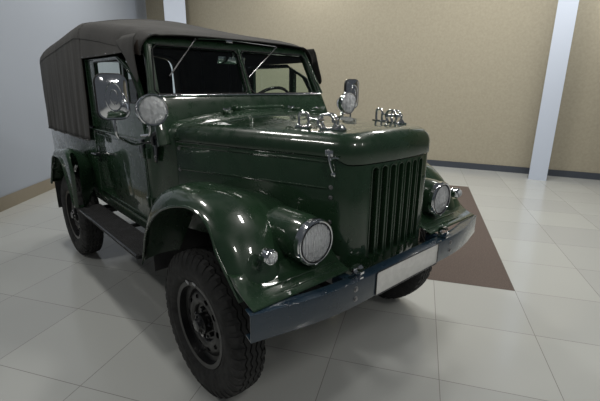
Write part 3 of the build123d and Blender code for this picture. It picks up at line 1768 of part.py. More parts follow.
with BuildPart() as canopy_walls:
    add(canopy_shell.part)
    with Locations((0, 0, canopy_eaves_z - running_gap)):
        Box(2000, 6000, 3000, align=(Align.CENTER, Align.CENTER, Align.MIN), mode=Mode.SUBTRACT)
    with BuildSketch(side_plane(-1000)):
        with BuildLine():
            Polyline(
                (0, canopy_hem_z - 100),
                (canopy_wall_front, canopy_hem_z - 100),
                (canopy_wall_front, canopy_eaves_z + 10),
                (0, canopy_eaves_z + 10),
                close=True,
            )
        make_face()
    extrude(amount=2000, mode=Mode.SUBTRACT)
    for side in (-1, 1):
        with Locations((side * (canopy_half_width - 3 * canopy_sheet), behind(canopy_rear), canopy_hem_z)):
            Box(1, 3 * canopy_sheet, 1600, mode=Mode.SUBTRACT)
    with Locations((0, behind(canopy_rear), canopy_window_z)):
        Box(canopy_window[0], 3 * canopy_sheet, canopy_window[1], mode=Mode.SUBTRACT)
    with Locations((0, behind(canopy_rear), canopy_hem_z - 10)):
        Box(
            2 * (canopy_half_width - 3 * canopy_sheet),
            3 * canopy_sheet,
            belt_z - canopy_hem_z + 10 + panel_gap,
            align=(Align.CENTER, Align.CENTER, Align.MIN),
            mode=Mode.SUBTRACT,
        )
finish(canopy_walls, "canopy_walls")

with BuildPart() as canopy_bows:
    for station, crown_z in ((1850, 1985), (2380, 1925), (canopy_bow_rear, 1868)):
        bow_x = inner_half - bow_radius - 6
        shoulder = crown_z - 95
        with BuildLine():
            FilletPolyline(
                (-bow_x, behind(station), belt_z - 60),
                (-bow_x, behind(station), shoulder - 10),
                (-bow_x + 130, behind(station), shoulder + 40),
                (0, behind(station), crown_z),
                (bow_x - 130, behind(station), shoulder + 40),
                (bow_x, behind(station), shoulder - 10),
                (bow_x, behind(station), belt_z - 60),
                radius=60,
            )
        with BuildSketch(Plane(origin=(-bow_x, behind(station), belt_z - 60), x_dir=(1, 0, 0), z_dir=(0, 0, 1))):
            Circle(bow_radius)
        sweep()
        for side in (-1, 1):
            with Locations((side * (inner_half - 10), behind(station), belt_z - 80)):
                Box(20, 30, 60)
finish(canopy_bows, "canopy_bows")
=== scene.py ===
import math

import bmesh
import bpy
from mathutils import Matrix, Vector, noise
from mathutils.bvhtree import BVHTree


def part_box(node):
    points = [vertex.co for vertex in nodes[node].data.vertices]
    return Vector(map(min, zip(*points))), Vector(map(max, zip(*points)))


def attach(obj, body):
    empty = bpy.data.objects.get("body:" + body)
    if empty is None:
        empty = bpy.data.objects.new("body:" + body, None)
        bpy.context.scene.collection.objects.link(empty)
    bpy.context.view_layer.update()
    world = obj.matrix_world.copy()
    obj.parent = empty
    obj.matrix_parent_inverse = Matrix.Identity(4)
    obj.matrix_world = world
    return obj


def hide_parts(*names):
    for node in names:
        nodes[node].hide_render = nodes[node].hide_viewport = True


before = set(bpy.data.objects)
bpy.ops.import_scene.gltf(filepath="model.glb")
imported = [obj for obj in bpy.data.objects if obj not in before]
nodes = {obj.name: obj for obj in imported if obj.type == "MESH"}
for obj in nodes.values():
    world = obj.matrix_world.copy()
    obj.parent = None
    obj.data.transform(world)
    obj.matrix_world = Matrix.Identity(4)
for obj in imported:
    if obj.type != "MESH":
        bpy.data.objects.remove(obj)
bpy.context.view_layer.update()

# A place is given in millimetres: X to the vehicle's left, the station counted rearwards
# from the front axle, and the height. What is added to a place is in metres, as radii are.
FRONT_AXLE = -1265.0


def P(x, station, z):
    """A place in the row frame, in metres."""
    return Vector((x, station + FRONT_AXLE, z)) / 1000.0


def V(x, y, z):
    """A step or a direction in the row frame, in metres."""
    return Vector((x, y, z))


trees = {}


def cast(node, start, direction):
    """Where a ray first meets a CAD node: the place and the normal, or nothing."""
    if node not in trees:
        mesh = nodes[node].data
        points = [nodes[node].matrix_world @ v.co for v in mesh.vertices]
        trees[node] = BVHTree.FromPolygons(points, [p.vertices[:] for p in mesh.polygons])
    at, normal, _, _ = trees[node].ray_cast(start, Vector(direction))
    return (at, normal) if at else None


def top_of(node, x, station):
    """The place on top of a CAD node, or nothing."""
    found = cast(node, P(x, station, 2500), (0, 0, -1))
    return found and found[0]


def outside_of(node, side, station, z):
    """The place on the outside of a CAD node, seen from the right (-1) or the left (1)."""
    found = cast(node, P(side * 2000, station, z), (-side, 0, 0))
    return found and found[0]


# Materials


def shade(code):
    """A colour written as sRGB hex, turned to linear, with full opacity."""
    parts = [int(code[i : i + 2], 16) / 255 for i in (1, 3, 5)]
    linear = [c / 12.92 if c <= 0.04045 else ((c + 0.055) / 1.055) ** 2.4 for c in parts]
    return (*linear, 1.0)


def add(tree, kind, links=(), **settings):
    """Adds a node, sets its inputs and options, and joins each (output, input name or number)."""
    node = tree.nodes.new("ShaderNode" + kind)
    for key, value in settings.items():
        name = key.replace("_", " ")
        if name in node.inputs:
            node.inputs[name].default_value = value
        else:
            setattr(node, key, value)
    for output, socket in links:
        tree.links.new(output, node.inputs[socket])
    return node


def pattern(tree, kind, size, stretch=(1, 1, 1), **settings):
    """A texture laid out in the piece's own coordinates; size is that of its repeat, in mm."""
    place = add(tree, "TexCoord")
    scaled = add(tree, "Mapping", [(place.outputs["Object"], "Vector")], Scale=stretch)
    scale = 1000 / size
    if kind == "Noise":
        settings.setdefault("Roughness", 0.55)
    if kind == "Wave":
        # At scale 1 a wave's angle grows by 20 per unit along an axis, or by 10 along each for a diagonal
        diagonal = settings["bands_direction"] == "DIAGONAL"
        scale *= 2 * math.pi / (10 * math.sqrt(3) if diagonal else 20)
    texture = add(tree, "Tex" + kind, [(scaled.outputs["Vector"], "Vector")], Scale=scale, **settings)
    return texture.outputs["Distance" if kind == "Voronoi" else "Fac"]


def grain(size, detail, strength, depth, **options):
    """A relief of noise for finish: its size in mm, detail, strength and depth in mm."""
    return "Noise", size, {"Detail": detail, **options}, strength, depth


def finish(name, colour, rough, metal=0.0, tone=None, gloss=None, relief=(), **settings):
    """A solid finish, as a material.

    tone mottles its colour and gloss its roughness with a noise: size in mm, detail, the lowest and
    the highest, and a stretch where it has one. tone's two are shares of the colour. Each relief is
    a kind of texture, its size in mm, its settings, its strength and its depth in mm.
    """
    material = bpy.data.materials.new(name)
    material.use_nodes = True
    tree = material.node_tree
    surface = tree.nodes["Principled BSDF"]
    base = shade(colour)
    for key, value in {"Base Color": base, "Roughness": rough, "Metallic": metal}.items():
        surface.inputs[key].default_value = value
    for key, value in settings.items():
        surface.inputs[key.replace("_", " ")].default_value = value
    for given, socket in ((tone, "Base Color"), (gloss, "Roughness")):
        if given is None:
            continue
        size, detail, low, high, *stretch = given
        texture = pattern(tree, "Noise", size, *stretch, Detail=detail)
        band = add(tree, "ValToRGB", [(texture, "Fac")])
        for stop, position, value in zip(band.color_ramp.elements, (0.3, 0.7), (low, high)):
            stop.position = position
            stop.color = [c * value for c in base[:3]] + [1] if given is tone else (value, value, value, 1)
        tree.links.new(band.outputs["Color"], surface.inputs[socket])
    below = None
    for kind, size, options, strength, depth in relief:
        links = [(pattern(tree, kind, size, **options), "Height")]
        if below is not None:
            links.append((below, "Normal"))
        below = add(tree, "Bump", links, Strength=strength, Distance=depth / 1000).outputs["Normal"]
    if below is not None:
        tree.links.new(below, surface.inputs["Normal"])
    return material


def enamel(name, colour, rough=0.3):
    """Alkyd enamel, sprayed and polished: a deep wet coat with a faint orange peel."""
    return finish(
        name,
        colour,
        rough,
        tone=(333.3, 3, 0.82, 1.2),
        gloss=(71.4, 5, rough * 0.7, rough * 1.7),
        relief=(grain(4.545, 2, 0.02, 1.0), grain(142.9, 2, 0.03, 4.0)),
        Coat_Weight=1.0,
        Coat_Roughness=0.025,
        Specular_IOR_Level=0.3,
    )


def rubber(name, colour, rough):
    """Vulcanised rubber, moulded: dull and dusty, so it mirrors nothing."""
    return finish(
        name,
        colour,
        rough,
        tone=(83.33, 5, 0.7, 1.7),
        gloss=(33.33, 4, rough * 0.85, min(1, rough * 1.2)),
        relief=(grain(3.846, 3, 0.15, 0.6),),
        Specular_IOR_Level=0.35,
    )


def lamp_glass(name, flute):
    """Pressed soda glass: pale, with flutes and facets that break up what it mirrors. flute is in mm."""
    return finish(
        name,
        "#f7fafd",
        0.06,
        relief=(
            ("Wave", flute, {"Distortion": 0.4, "bands_direction": "X"}, 0.9, 4.0),
            ("Voronoi", 25.0, {}, 0.9, 7.0),
        ),
        IOR=1.5,
        Transmission_Weight=0.62,
    )


def sheet_glass(name):
    """Flat drawn glass, 5 mm: clear, with a slight waviness in what it mirrors."""
    material = bpy.data.materials.new(name)
    material.use_nodes = True
    tree = material.node_tree
    tree.nodes.remove(tree.nodes["Principled BSDF"])
    waves = [(pattern(tree, "Noise", 55.56, Detail=3), "Height")]
    smear = add(tree, "Bump", waves, Strength=0.02, Distance=0.001)
    bent = [(smear.outputs["Normal"], "Normal")]
    mirror = add(tree, "BsdfGlossy", bent, Roughness=0.02, Color=shade("#f3f6f6"))
    clear = add(tree, "BsdfTransparent", Color=shade("#f7fcf9"))
    # Only faces that look outwards mirror: light isn't bent here, so a back face would shut it in
    side = add(tree, "NewGeometry")
    outside = add(tree, "Math", [(side.outputs["Backfacing"], 1)], operation="SUBTRACT", Value=1.0)
    fresnel = add(tree, "Fresnel", IOR=1.5)
    share = add(tree, "Math", [(outside.outputs[0], 0), (fresnel.outputs[0], 1)], operation="MULTIPLY")
    mix = add(tree, "MixShader", [(share.outputs[0], 0), (clear.outputs[0], 1), (mirror.outputs[0], 2)])
    tree.links.new(mix.outputs[0], tree.nodes["Material Output"].inputs["Surface"])
    return material


GREEN = enamel("green_gloss_paint", "#1e3322", 0.26)
BLACK = enamel("black_gloss_paint", "#16191f")
BUMPER = enamel("bumper_blue_black_paint", "#192a38")
# Wheel enamel, brushed and dusty: nearly black, with only a soft shine
WHEEL = finish(
    "wheel_black_paint",
    "#121213",
    0.35,
    tone=(111.1, 5, 0.7, 1.5),
    gloss=(55.56, 5, 0.28, 0.5),
    relief=(grain(6.25, 3, 0.05, 0.8),),
    Coat_Weight=0.25,
    Coat_Roughness=0.15,
)
# Brushed chassis paint over rolled steel: blotchy and half dull
CHASSIS = finish(
    "chassis_black",
    "#1d1d1e",
    0.45,
    tone=(111.1, 6, 0.6, 2.2),
    gloss=(50.0, 5, 0.32, 0.65),
    relief=(grain(11.11, 4, 0.15, 1.0),),
)
# Chromium plate on brass: mirrors the hall, a little cloudy in places
CHROME = finish(
    "chrome_plate",
    "#e7e8eb",
    0.07,
    1.0,
    gloss=(40.0, 5, 0.04, 0.16),
    relief=(grain(16.67, 2, 0.02, 1.0),),
)
TYRE = rubber("tyre_rubber", "#272727", 0.72)
RUBBER = rubber("mat_rubber", "#1d1d1e", 0.6)
# Proofed cotton duck: matt and grey-brown; the weave is drawn coarser than real so that it shows
CANVAS = finish(
    "canvas_cloth",
    "#31302e",
    0.93,
    tone=(384.6, 6, 0.72, 1.32),
    relief=(
        grain(2.381, 3, 0.35, 0.8),
        ("Wave", 2.134, {"Distortion": 1.2, "bands_direction": "DIAGONAL"}, 0.12, 0.6),
        grain(41.67, 5, 0.3, 4.0),
    ),
    Sheen_Weight=0.05,
    Sheen_Roughness=0.6,
)
# The duck's unproofed inside: browner and matt
LINING = finish(
    "canvas_underside",
    "#443c37",
    0.95,
    tone=(333.3, 5, 0.7, 1.3),
    relief=(grain(3.333, 3, 0.3, 0.8),),
)
GLASS = sheet_glass("window_glass")
LENS = lamp_glass("lamp_lens", 12.08)
SPOT_LENS = lamp_glass("spot_lens", 34.91)
# Zinc-plated steel, worn: grey and half dull
STEEL = finish(
    "worn_steel",
    "#99999b",
    0.35,
    1.0,
    gloss=(25.0, 5, 0.25, 0.6),
    relief=(grain(8.333, 3, 0.1, 1.0),),
)
# Sand-cast iron: dark, dull and grainy
IRON = finish(
    "cast_iron",
    "#353535",
    0.7,
    0.6,
    tone=(66.67, 5, 0.6, 1.8),
    relief=(grain(6.25, 4, 0.3, 1.0),),
)
# Mild steel tube, heated: brown and scaly
EXHAUST = finish(
    "exhaust_steel",
    "#59524b",
    0.55,
    0.8,
    tone=(71.43, 6, 0.5, 1.7),
    relief=(grain(12.5, 4, 0.2, 1.0),),
)
# Bakelite, moulded and worn by hands: black with a soft polish
PLASTIC = finish(
    "black_bakelite",
    "#1d1d1e",
    0.22,
    gloss=(33.33, 4, 0.16, 0.34),
    relief=(grain(6.667, 2, 0.03, 0.6),),
    Coat_Weight=0.4,
)
# Leathercloth: dark green-black with a pebbled grain of about 4 mm
VINYL = finish(
    "seat_leathercloth",
    "#272b24",
    0.5,
    tone=(166.7, 4, 0.7, 1.4),
    relief=(("Voronoi", 3.846, {}, 0.3, 0.8),),
)
# Pine slats, painted: dull, with the grain along them
WOOD = finish(
    "painted_slats",
    "#3f3f30",
    0.55,
    tone=(200.0, 6, 0.6, 1.5, (1, 0.08, 1)),
    relief=(grain(25.0, 5, 0.3, 1.0, stretch=(1, 0.06, 1)),),
)
# Painted sheet aluminium: an off-white, even and half dull plate
PLATE = finish(
    "blank_plate",
    "#cbcbc8",
    0.42,
    tone=(33.33, 4, 0.9, 1.05),
    relief=(grain(14.29, 3, 0.05, 1.0),),
)
# Brass radiator core, painted black: dark, with fins every 3.5 mm
CORE = finish(
    "radiator_core",
    "#222222",
    0.55,
    0.5,
    tone=(100.0, 4, 0.6, 1.6),
    relief=(("Wave", 3.491, {"bands_direction": "Z"}, 0.8, 3.0),),
)
# Lead, cast: pale grey and dull
PALE = finish(
    "pale_lead",
    "#adafb1",
    0.5,
    0.3,
    gloss=(25.0, 3, 0.4, 0.65),
    relief=(grain(12.5, 3, 0.1, 1.0),),
)
# Silvered brass: a bright bowl with broken reflections
BOWL = finish(
    "reflector_bowl",
    "#f3f3f3",
    0.12,
    1.0,
    gloss=(33.33, 3, 0.05, 0.2),
    relief=(("Voronoi", 23.81, {}, 0.4, 6.0),),
)
# Red pressed glass over a dark bowl: deep red with a wet shine
RED = finish(
    "tail_lens_red",
    "#951916",
    0.12,
    gloss=(50.0, 3, 0.08, 0.2),
    relief=(grain(16.67, 2, 0.2, 1.0),),
    Coat_Weight=0.6,
)

# Looks of the CAD nodes

LOOKS = {
    GREEN: "body_sides cowl door_left door_right fenders_front fenders_rear front_aprons grille hood "
    "nose_sides tailgate vent_flap wheelhouses windscreen_frame floor_panel dashboard",
    BUMPER: "bumper_front bumperettes",
    WHEEL: "wheel_disc_fl wheel_disc_fr wheel_disc_rl wheel_disc_rr wheel_disc_spare",
    CHASSIS: "axle_front axle_rear crossmembers frame_rails fuel_tank knuckle_left knuckle_right "
    "leaf_springs propeller_shafts seat_frames steering_column tie_rod canopy_bows",
    CHROME: "headlamps mirrors tow_hooks spotlights small_lamps",
    TYRE: "tyre_fl tyre_fr tyre_rl tyre_rr tyre_spare",
    PLASTIC: "steering_wheel",
    IRON: "powertrain",
    CORE: "radiator",
    EXHAUST: "exhaust",
    GLASS: "door_glass_left door_glass_right windscreen_glass",
    LENS: "headlamp_lenses",
    CANVAS: "canopy_roof canopy_walls",
    VINYL: "seat_cushions",
    WOOD: "benches",
    RUBBER: "running_boards",
}
ROUNDED = (
    "body_sides cowl door_left door_right fenders_front fenders_rear front_aprons grille hood nose_sides "
    "tailgate windscreen_frame bumper_front vent_flap"
).split()
for material, names in LOOKS.items():
    for name in names.split():
        o = nodes[name]
        o.data.materials.clear()
        o.data.materials.append(material)
        for poly in o.data.polygons:
            poly.use_smooth = True
        weld = o.modifiers.new("weld", "WELD")
        weld.merge_threshold = 0.00002
        if name in ROUNDED:
            bevel = o.modifiers.new("edges", "BEVEL")
            bevel.width = 0.002
            bevel.segments = 2
            bevel.limit_method = "ANGLE"
            bevel.angle_limit = math.radians(50)
            bevel.harden_normals = False
        split = o.modifiers.new("split", "EDGE_SPLIT")
        split.split_angle = math.radians(34)

# Helpers that build meshes


def turn(count):
    """Angles that divide a full turn."""
    return [2 * math.pi * i / count for i in range(count)]


def circle(centre, normal_to, up, radius, count):
    """Points round a centre, in the plane of up and of what is square to it and to the normal."""
    side = normal_to.cross(up)
    return [centre + (up * math.cos(k) + side * math.sin(k)) * radius for k in turn(count)]


def oval(centre, half_width, half_height, count):
    """Points round a centre in the plane that faces forwards."""
    return [centre + V(math.cos(k) * half_width, 0, math.sin(k) * half_height) for k in turn(count)]


class Piece:
    """Gathers mesh parts that share a body and a material into one object."""

    def __init__(self, name, material, body="chassis", smooth=True, angle=40):
        self.name, self.material, self.body = name, material, body
        self.smooth, self.angle = smooth, angle
        self.verts, self.faces = [], []

    def add(self, verts, faces):
        base = len(self.verts)
        self.verts += [Vector(v) for v in verts]
        self.faces += [[base + i for i in f] for f in faces]
        return self

    def tube(self, points, radius, segments=10, smooth=True, caps=True, closed=False):
        """A round tube through points in metres; the line is rounded between them."""
        pts = spline(points, 6, closed) if smooth else [Vector(p) for p in points]
        n = len(pts)
        radii = radius if callable(radius) else (lambda t: radius)
        rings, up = [], None
        for i, p in enumerate(pts):
            a = pts[i - 1] if i or closed else p
            b = pts[(i + 1) % n] if i < n - 1 or closed else p
            t = (b - a).normalized()
            if up is None:
                up = t.orthogonal().normalized()
            up = (up - t * up.dot(t)).normalized()
            rings.append(circle(p, t, up, radii(i / max(1, n - 1)), segments))
        self.loft(rings, closed_along=closed, caps=caps and not closed)
        return self

    def wire(self, points, radius, segments=8):
        """A round tube whose line goes straight from point to point."""
        return self.tube(points, radius, segments, smooth=False)

    def hoop(self, points, radius):
        """A round tube that goes straight from point to point and closes."""
        return self.tube(points, radius, 8, smooth=False, closed=True)

    def loft(self, rings, closed_along=False, caps=False, closed_round=True):
        m = len(rings[0])
        verts = [v for ring in rings for v in ring]
        faces = []
        spans = len(rings) if closed_along else len(rings) - 1
        for i in range(spans):
            j = (i + 1) % len(rings)
            for k in range(m if closed_round else m - 1):
                l = (k + 1) % m
                faces.append([i * m + k, i * m + l, j * m + l, j * m + k])
        if caps:
            faces.append(list(range(m))[::-1])
            faces.append([(len(rings) - 1) * m + k for k in range(m)])
        return self.add(verts, faces)

    def revolve(self, profile, origin, axis, segments=32, closed=False):
        """Turns (along, radius) points, in metres, about an axis through origin."""
        axis = Vector(axis).normalized()
        up = axis.orthogonal().normalized()
        origin = Vector(origin)
        rings = [circle(origin + axis * a, axis, up, max(r, 1e-5), segments) for a, r in profile]
        return self.loft(rings, closed_along=closed, caps=not closed)

    def block(self, centre, size, rot=None, bevel=0.0015, taper=1.0):
        """A box with rounded edges; size in metres, rot a 3x3 matrix."""
        bm = bmesh.new()
        bmesh.ops.create_cube(bm, size=1)
        for v in bm.verts:
            k = taper if v.co.z > 0 else 1
            v.co = Vector((v.co.x * size[0] * k, v.co.y * size[1] * k, v.co.z * size[2]))
        if bevel:
            round_off = min(bevel, min(size) * 0.45)
            bmesh.ops.bevel(bm, geom=bm.edges[:], offset=round_off, segments=2, affect="EDGES", profile=0.5)
        m = rot or Matrix.Identity(3)
        verts = [m @ v.co + Vector(centre) for v in bm.verts]
        faces = [[v.index for v in f.verts] for f in bm.faces]
        bm.free()
        return self.add(verts, faces)

    def plate(self, outline, origin, x_dir, y_dir, thick, bevel=0.001):
        """A flat plate from a closed outline of (x, y) in metres, its edges rounded."""
        x_dir, y_dir = Vector(x_dir).normalized(), Vector(y_dir).normalized()
        z_dir = x_dir.cross(y_dir)
        bm = bmesh.new()
        low = [bm.verts.new(Vector((x, y, 0))) for x, y in outline]
        face = bm.faces.new(low)
        out = bmesh.ops.extrude_face_region(bm, geom=[face])
        for v in out["geom"]:
            if isinstance(v, bmesh.types.BMVert):
                v.co.z += thick
        bmesh.ops.recalc_face_normals(bm, faces=bm.faces[:])
        if bevel:
            rim = [e for e in bm.edges if abs(e.verts[0].co.z - e.verts[1].co.z) < 1e-7]
            bmesh.ops.bevel(bm, geom=rim, offset=bevel, segments=2, affect="EDGES", profile=0.5)
        bm.verts.index_update()
        verts = [Vector(origin) + x_dir * v.co.x + y_dir * v.co.y + z_dir * v.co.z for v in bm.verts]
        faces = [[v.index for v in f.verts] for f in bm.faces]
        bm.free()
        return self.add(verts, faces)

    def bolt(self, at, normal, radius=0.006, height=0.004, kind="hex"):
        """A bolt's head with its washer, or a round rivet's head."""
        at, normal = Vector(at), Vector(normal).normalized()
        if kind == "rivet":
            dome = [(-0.001, radius), (0.0, radius), (height * 0.6, radius * 0.8), (height, radius * 0.35)]
            return self.revolve(dome, at, normal, 12)
        self.revolve([(-0.001, radius * 1.45), (0.0012, radius * 1.45), (0.0014, radius)], at, normal, 16)
        up = normal.orthogonal().normalized()
        levels = ((0.001, radius), (height * 0.85, radius), (height, radius * 0.85))
        return self.loft([circle(at + normal * h, normal, up, r, 6) for h, r in levels], caps=True)

    def done(self):
        """Makes the object, rides it on its body and gives it its material's slot."""
        mesh = bpy.data.meshes.new(self.name)
        mesh.from_pydata(self.verts, [], self.faces)
        mesh.validate()
        mesh.update()
        o = bpy.data.objects.new(self.name, mesh)
        bpy.context.scene.collection.objects.link(o)
        bm = bmesh.new()
        bm.from_mesh(mesh)
        bmesh.ops.recalc_face_normals(bm, faces=bm.faces[:])
        bm.to_mesh(mesh)
        bm.free()
        mesh.materials.append(self.material)
        if self.smooth:
            for poly in mesh.polygons:
                poly.use_smooth = True
            split = o.modifiers.new("split", "EDGE_SPLIT")
            split.split_angle = math.radians(self.angle)
        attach(o, self.body)
        return o


def spline(points, steps, closed=False):
    """Catmull-Rom points through the given ones."""
    pts = [Vector(p) for p in points]
    n = len(pts)
    out = []
    spans = n if closed else n - 1
    for i in range(spans):
        p1, p2 = pts[i], pts[(i + 1) % n]
        p0 = pts[(i - 1) % n] if closed or i else p1 * 2 - p2
        p3 = pts[(i + 2) % n] if closed or i + 2 < n else p2 * 2 - p1
        for s in range(steps):
            t = s / steps
            out.append(
                0.5
                * (
                    2 * p1
                    + (p2 - p0) * t
                    + (2 * p0 - 5 * p1 + 4 * p2 - p3) * t * t
                    + (3 * p1 - p0 - 3 * p2 + p3) * t * t * t
                )
            )
    if not closed:
        out.append(pts[-1])
    return out


def sides(fn):
    """Calls fn once for the vehicle's right (-1) and once for its left (1)."""
    for s in (-1, 1):
        fn(s)


# Tyres with their tread, and what is fixed to the wheels

TYRE_R = 0.375
TREAD_PITCHES = 42
TREAD_DEPTH = 0.010
GROOVES = (-0.041, -0.0145, 0.0145, 0.041)
CAP_BOLT_CIRCLE = 0.040
WHEEL_BOLT_CIRCLE = 0.06985


def tyre_columns(fraction):
    """(across, radius) points of the tyre at a share of one tread pitch."""
    zig = 0.0055 * (4 * abs(fraction - 0.5) - 1)
    lug = 1.0 if fraction < 0.52 else 0.0
    shoulder = 0.0035 * lug
    cols = []

    def crown(x):
        return TYRE_R - 0.0052 * (x / 0.066) ** 2

    def side_wall(side):
        rows = [
            (0.066, TYRE_R - 0.006 - (0 if lug else 0.010)),
            (0.0725, TYRE_R - 0.017 - (0 if lug else 0.008)),
            (0.078 + shoulder, TYRE_R - 0.034 - (0 if lug else 0.003)),
            (0.082 + shoulder * 0.6, TYRE_R - 0.050),
            (0.0865, TYRE_R - 0.056),
            (0.0885, TYRE_R - 0.070),
            (0.0895, TYRE_R - 0.084),
            (0.0885, TYRE_R - 0.098),
            (0.0855, TYRE_R - 0.112),
            (0.0862, TYRE_R - 0.115),
            (0.0855, TYRE_R - 0.118),
            (0.0805, TYRE_R - 0.132),
            (0.0745, TYRE_R - 0.143),
            (0.0660, TYRE_R - 0.150),
            (0.0630, TYRE_R - 0.160),
            (0.0620, TYRE_R - 0.169),
        ]
        return [(x * side, r) for x, r in rows]

    cols += side_wall(-1)[::-1]
    for g in GROOVES:
        for dx, dr in ((-0.0040, 0), (-0.0025, TREAD_DEPTH), (0.0025, TREAD_DEPTH), (0.0040, 0)):
            x = g + zig + dx
            cols.append((x, crown(x) - dr))
    cols += side_wall(1)
    return cols


def tyre(name, centre, body, node):
    """A tyre with its tread, in the place of the CAD's plain ring."""
    centre = Vector(centre)
    piece = Piece(name, TYRE, body, angle=38)
    rings = []
    shares = (0.0, 0.25, 0.5, 0.54, 0.75, 0.98)
    for pitch in range(TREAD_PITCHES):
        for share in shares:
            a = 2 * math.pi * (pitch + share) / TREAD_PITCHES
            ca, sa = math.cos(a), math.sin(a)
            rings.append([centre + V(x, ca * r, sa * r) for x, r in tyre_columns(share)])
    piece.loft(rings, closed_along=True, closed_round=False)
    o = piece.done()
    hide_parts(node)
    return o


WHEELS = {
    "fl": ((720, 0, 375), "wheel_fl"),
    "fr": ((-720, 0, 375), "wheel_fr"),
    "rl": ((720, 2300, 375), "wheel_rl"),
    "rr": ((-720, 2300, 375), "wheel_rr"),
}
for key, (place, body) in WHEELS.items():
    tyre(f"tread_{key}", P(*place), body, f"tyre_{key}")
spare_low, spare_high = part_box("tyre_spare")
tyre("tread_spare", (spare_low + spare_high) / 2, "chassis", "tyre_spare")

for key, (place, body) in WHEELS.items():
    side = 1 if place[0] > 0 else -1
    c = P(*place)
    out = V(side, 0, 0)
    studs = Piece(f"hub_studs_{key}", STEEL if key in ("rl", "rr") else BLACK, body)
    for k in turn(6):
        around = V(0, math.cos(k), math.sin(k)) * CAP_BOLT_CIRCLE
        studs.bolt(c + V(side * 0.0635, 0, 0) + around, out, 0.0055, 0.006)
    for k in turn(5):
        around = V(0, math.sin(k), math.cos(k)) * WHEEL_BOLT_CIRCLE
        studs.bolt(c + V(side * 0.043, 0, 0) + around, out, 0.007, 0.007)
    studs.revolve([(0.074, 0.031), (0.081, 0.029), (0.084, 0.022), (0.0845, 0.012)], c, out, 24)
    studs.done()
    valve = Piece(f"valve_{key}", RUBBER, body)
    stem = ((0.040, -0.158), (0.062, -0.150), (0.072, -0.148))
    valve.tube([c + V(side * x, 0, z) for x, z in stem], 0.004)
    valve.done()

# Two lead weights on the right front rim
RIM_R = 0.2185
weights = Piece("balance_weights", PALE, "wheel_fr")
for angle in (1.95, 1.62):
    at = P(-720, 0, 375) + V(-0.0715, -math.cos(angle) * RIM_R, math.sin(angle) * RIM_R)
    lie = Matrix.Rotation(angle - math.pi / 2, 3, "X")
    weights.block(at, (0.006, 0.032, 0.011), lie, 0.002)
weights.done()

# Canopy cloth

CLOTH_THICK = 0.0025
EAVE_ROUND = 118
ROOF_SHARE = 0.36
EAVE_SHARE = 0.5
SIDE_FROM = 1702
CLOTH = [
    # station, half width at the eaves, crown height, edge height, hem height, hem half width
    (728, 662, 1797, 1786, 1752, 668),
    (760, 670, 1806, 1794, 1715, 682),
    (850, 684, 1832, 1818, 1692, 696),
    (1000, 690, 1868, 1850, 1690, 702),
    (1300, 694, 1928, 1894, 1688, 706),
    (1600, 697, 1985, 1930, 1688, 708),
    (1694, 698, 2000, 1940, 1688, 710),
    (1702, 698, 2002, 1941, 1100, 724),
    (1850, 700, 2026, 1952, 1098, 724),
    (2100, 700, 2005, 1932, 1090, 722),
    (2500, 700, 1958, 1892, 1092, 722),
    (2860, 700, 1915, 1862, 1085, 722),
    (3060, 700, 1885, 1838, 1082, 722),
    (3160, 698, 1868, 1818, 1085, 720),
    (3186, 686, 1856, 1806, 1088, 712),
]


def cloth_row(station):
    """The canopy's section at a station, between the given ones."""
    for a, b in zip(CLOTH, CLOTH[1:]):
        if a[0] <= station <= b[0]:
            t = (station - a[0]) / (b[0] - a[0])
            return [u + (v - u) * t for u, v in zip(a, b)]
    return CLOTH[-1] if station > CLOTH[-1][0] else CLOTH[0]


def cloth_point(station, s):
    """s runs from -1 at the right hem over the top to 1 at the left hem."""
    _, eave_half, crown, edge, hem, hem_half = cloth_row(station)
    side = -1 if s < 0 else 1
    a = abs(s)
    if a > EAVE_SHARE:
        t = (a - EAVE_SHARE) / (1 - EAVE_SHARE)
        top = edge - EAVE_ROUND
        z = top + (hem + scallop(station, side) - top) * t
        x = eave_half + (hem_half - eave_half) * t
        x += folds(station, z, side) * (0.25 + 0.75 * t)
    elif a > ROOF_SHARE:
        t = (a - ROOF_SHARE) / (EAVE_SHARE - ROOF_SHARE)
        ang = t * math.pi / 2
        x = eave_half - EAVE_ROUND + EAVE_ROUND * math.sin(ang)
        z = edge - EAVE_ROUND + EAVE_ROUND * math.cos(ang)
        x += folds(station, z, side) * 0.25 * t
    else:
        t = a / ROOF_SHARE
        x = (eave_half - EAVE_ROUND) * t
        z = crown + (edge - crown) * t * t
        z -= sag(station) * (1 - t * t)
        z += 3.0 * noise.noise(V(x * side * 0.006, station * 0.006, 3.0))
        z += pull(station, x) * min(1, max(0, (t - 0.1) * 2))
    return P(side * x, station, z)


def sag(station):
    """The cloth hangs a little between the bows."""
    bows = (742, 1850, 2380, 2900, 3186)
    for a, b in zip(bows, bows[1:]):
        if a <= station <= b:
            t = (station - a) / (b - a)
            return 13 * math.sin(math.pi * t) ** 2
    return 0


def folds(station, z, side):
    """Hanging folds of the side curtains, deeper towards the hem."""
    n = noise.noise(V(station * 0.0085, z * 0.0016, side * 7.3))
    m = noise.noise(V(station * 0.021 + 9, z * 0.002, side * 3.1))
    f = math.sin(station * 0.034 + 2.6 * n + side) * (0.4 + 0.6 * max(0, 1 - (z - 1100) / 560))
    if station < 1700:
        return 3 * (0.65 * n + 0.45 * m)
    return 14 * (0.65 * n + 0.45 * m) + 5.5 * f


def scallop(station, side):
    """The side curtains' hem hangs uneven between its folds, in mm."""
    if station < SIDE_FROM:
        return 0
    return 9 * noise.noise(V(station * 0.011, side * 4.1, 1.5)) + 3.5 * math.sin(station * 0.034 + side)


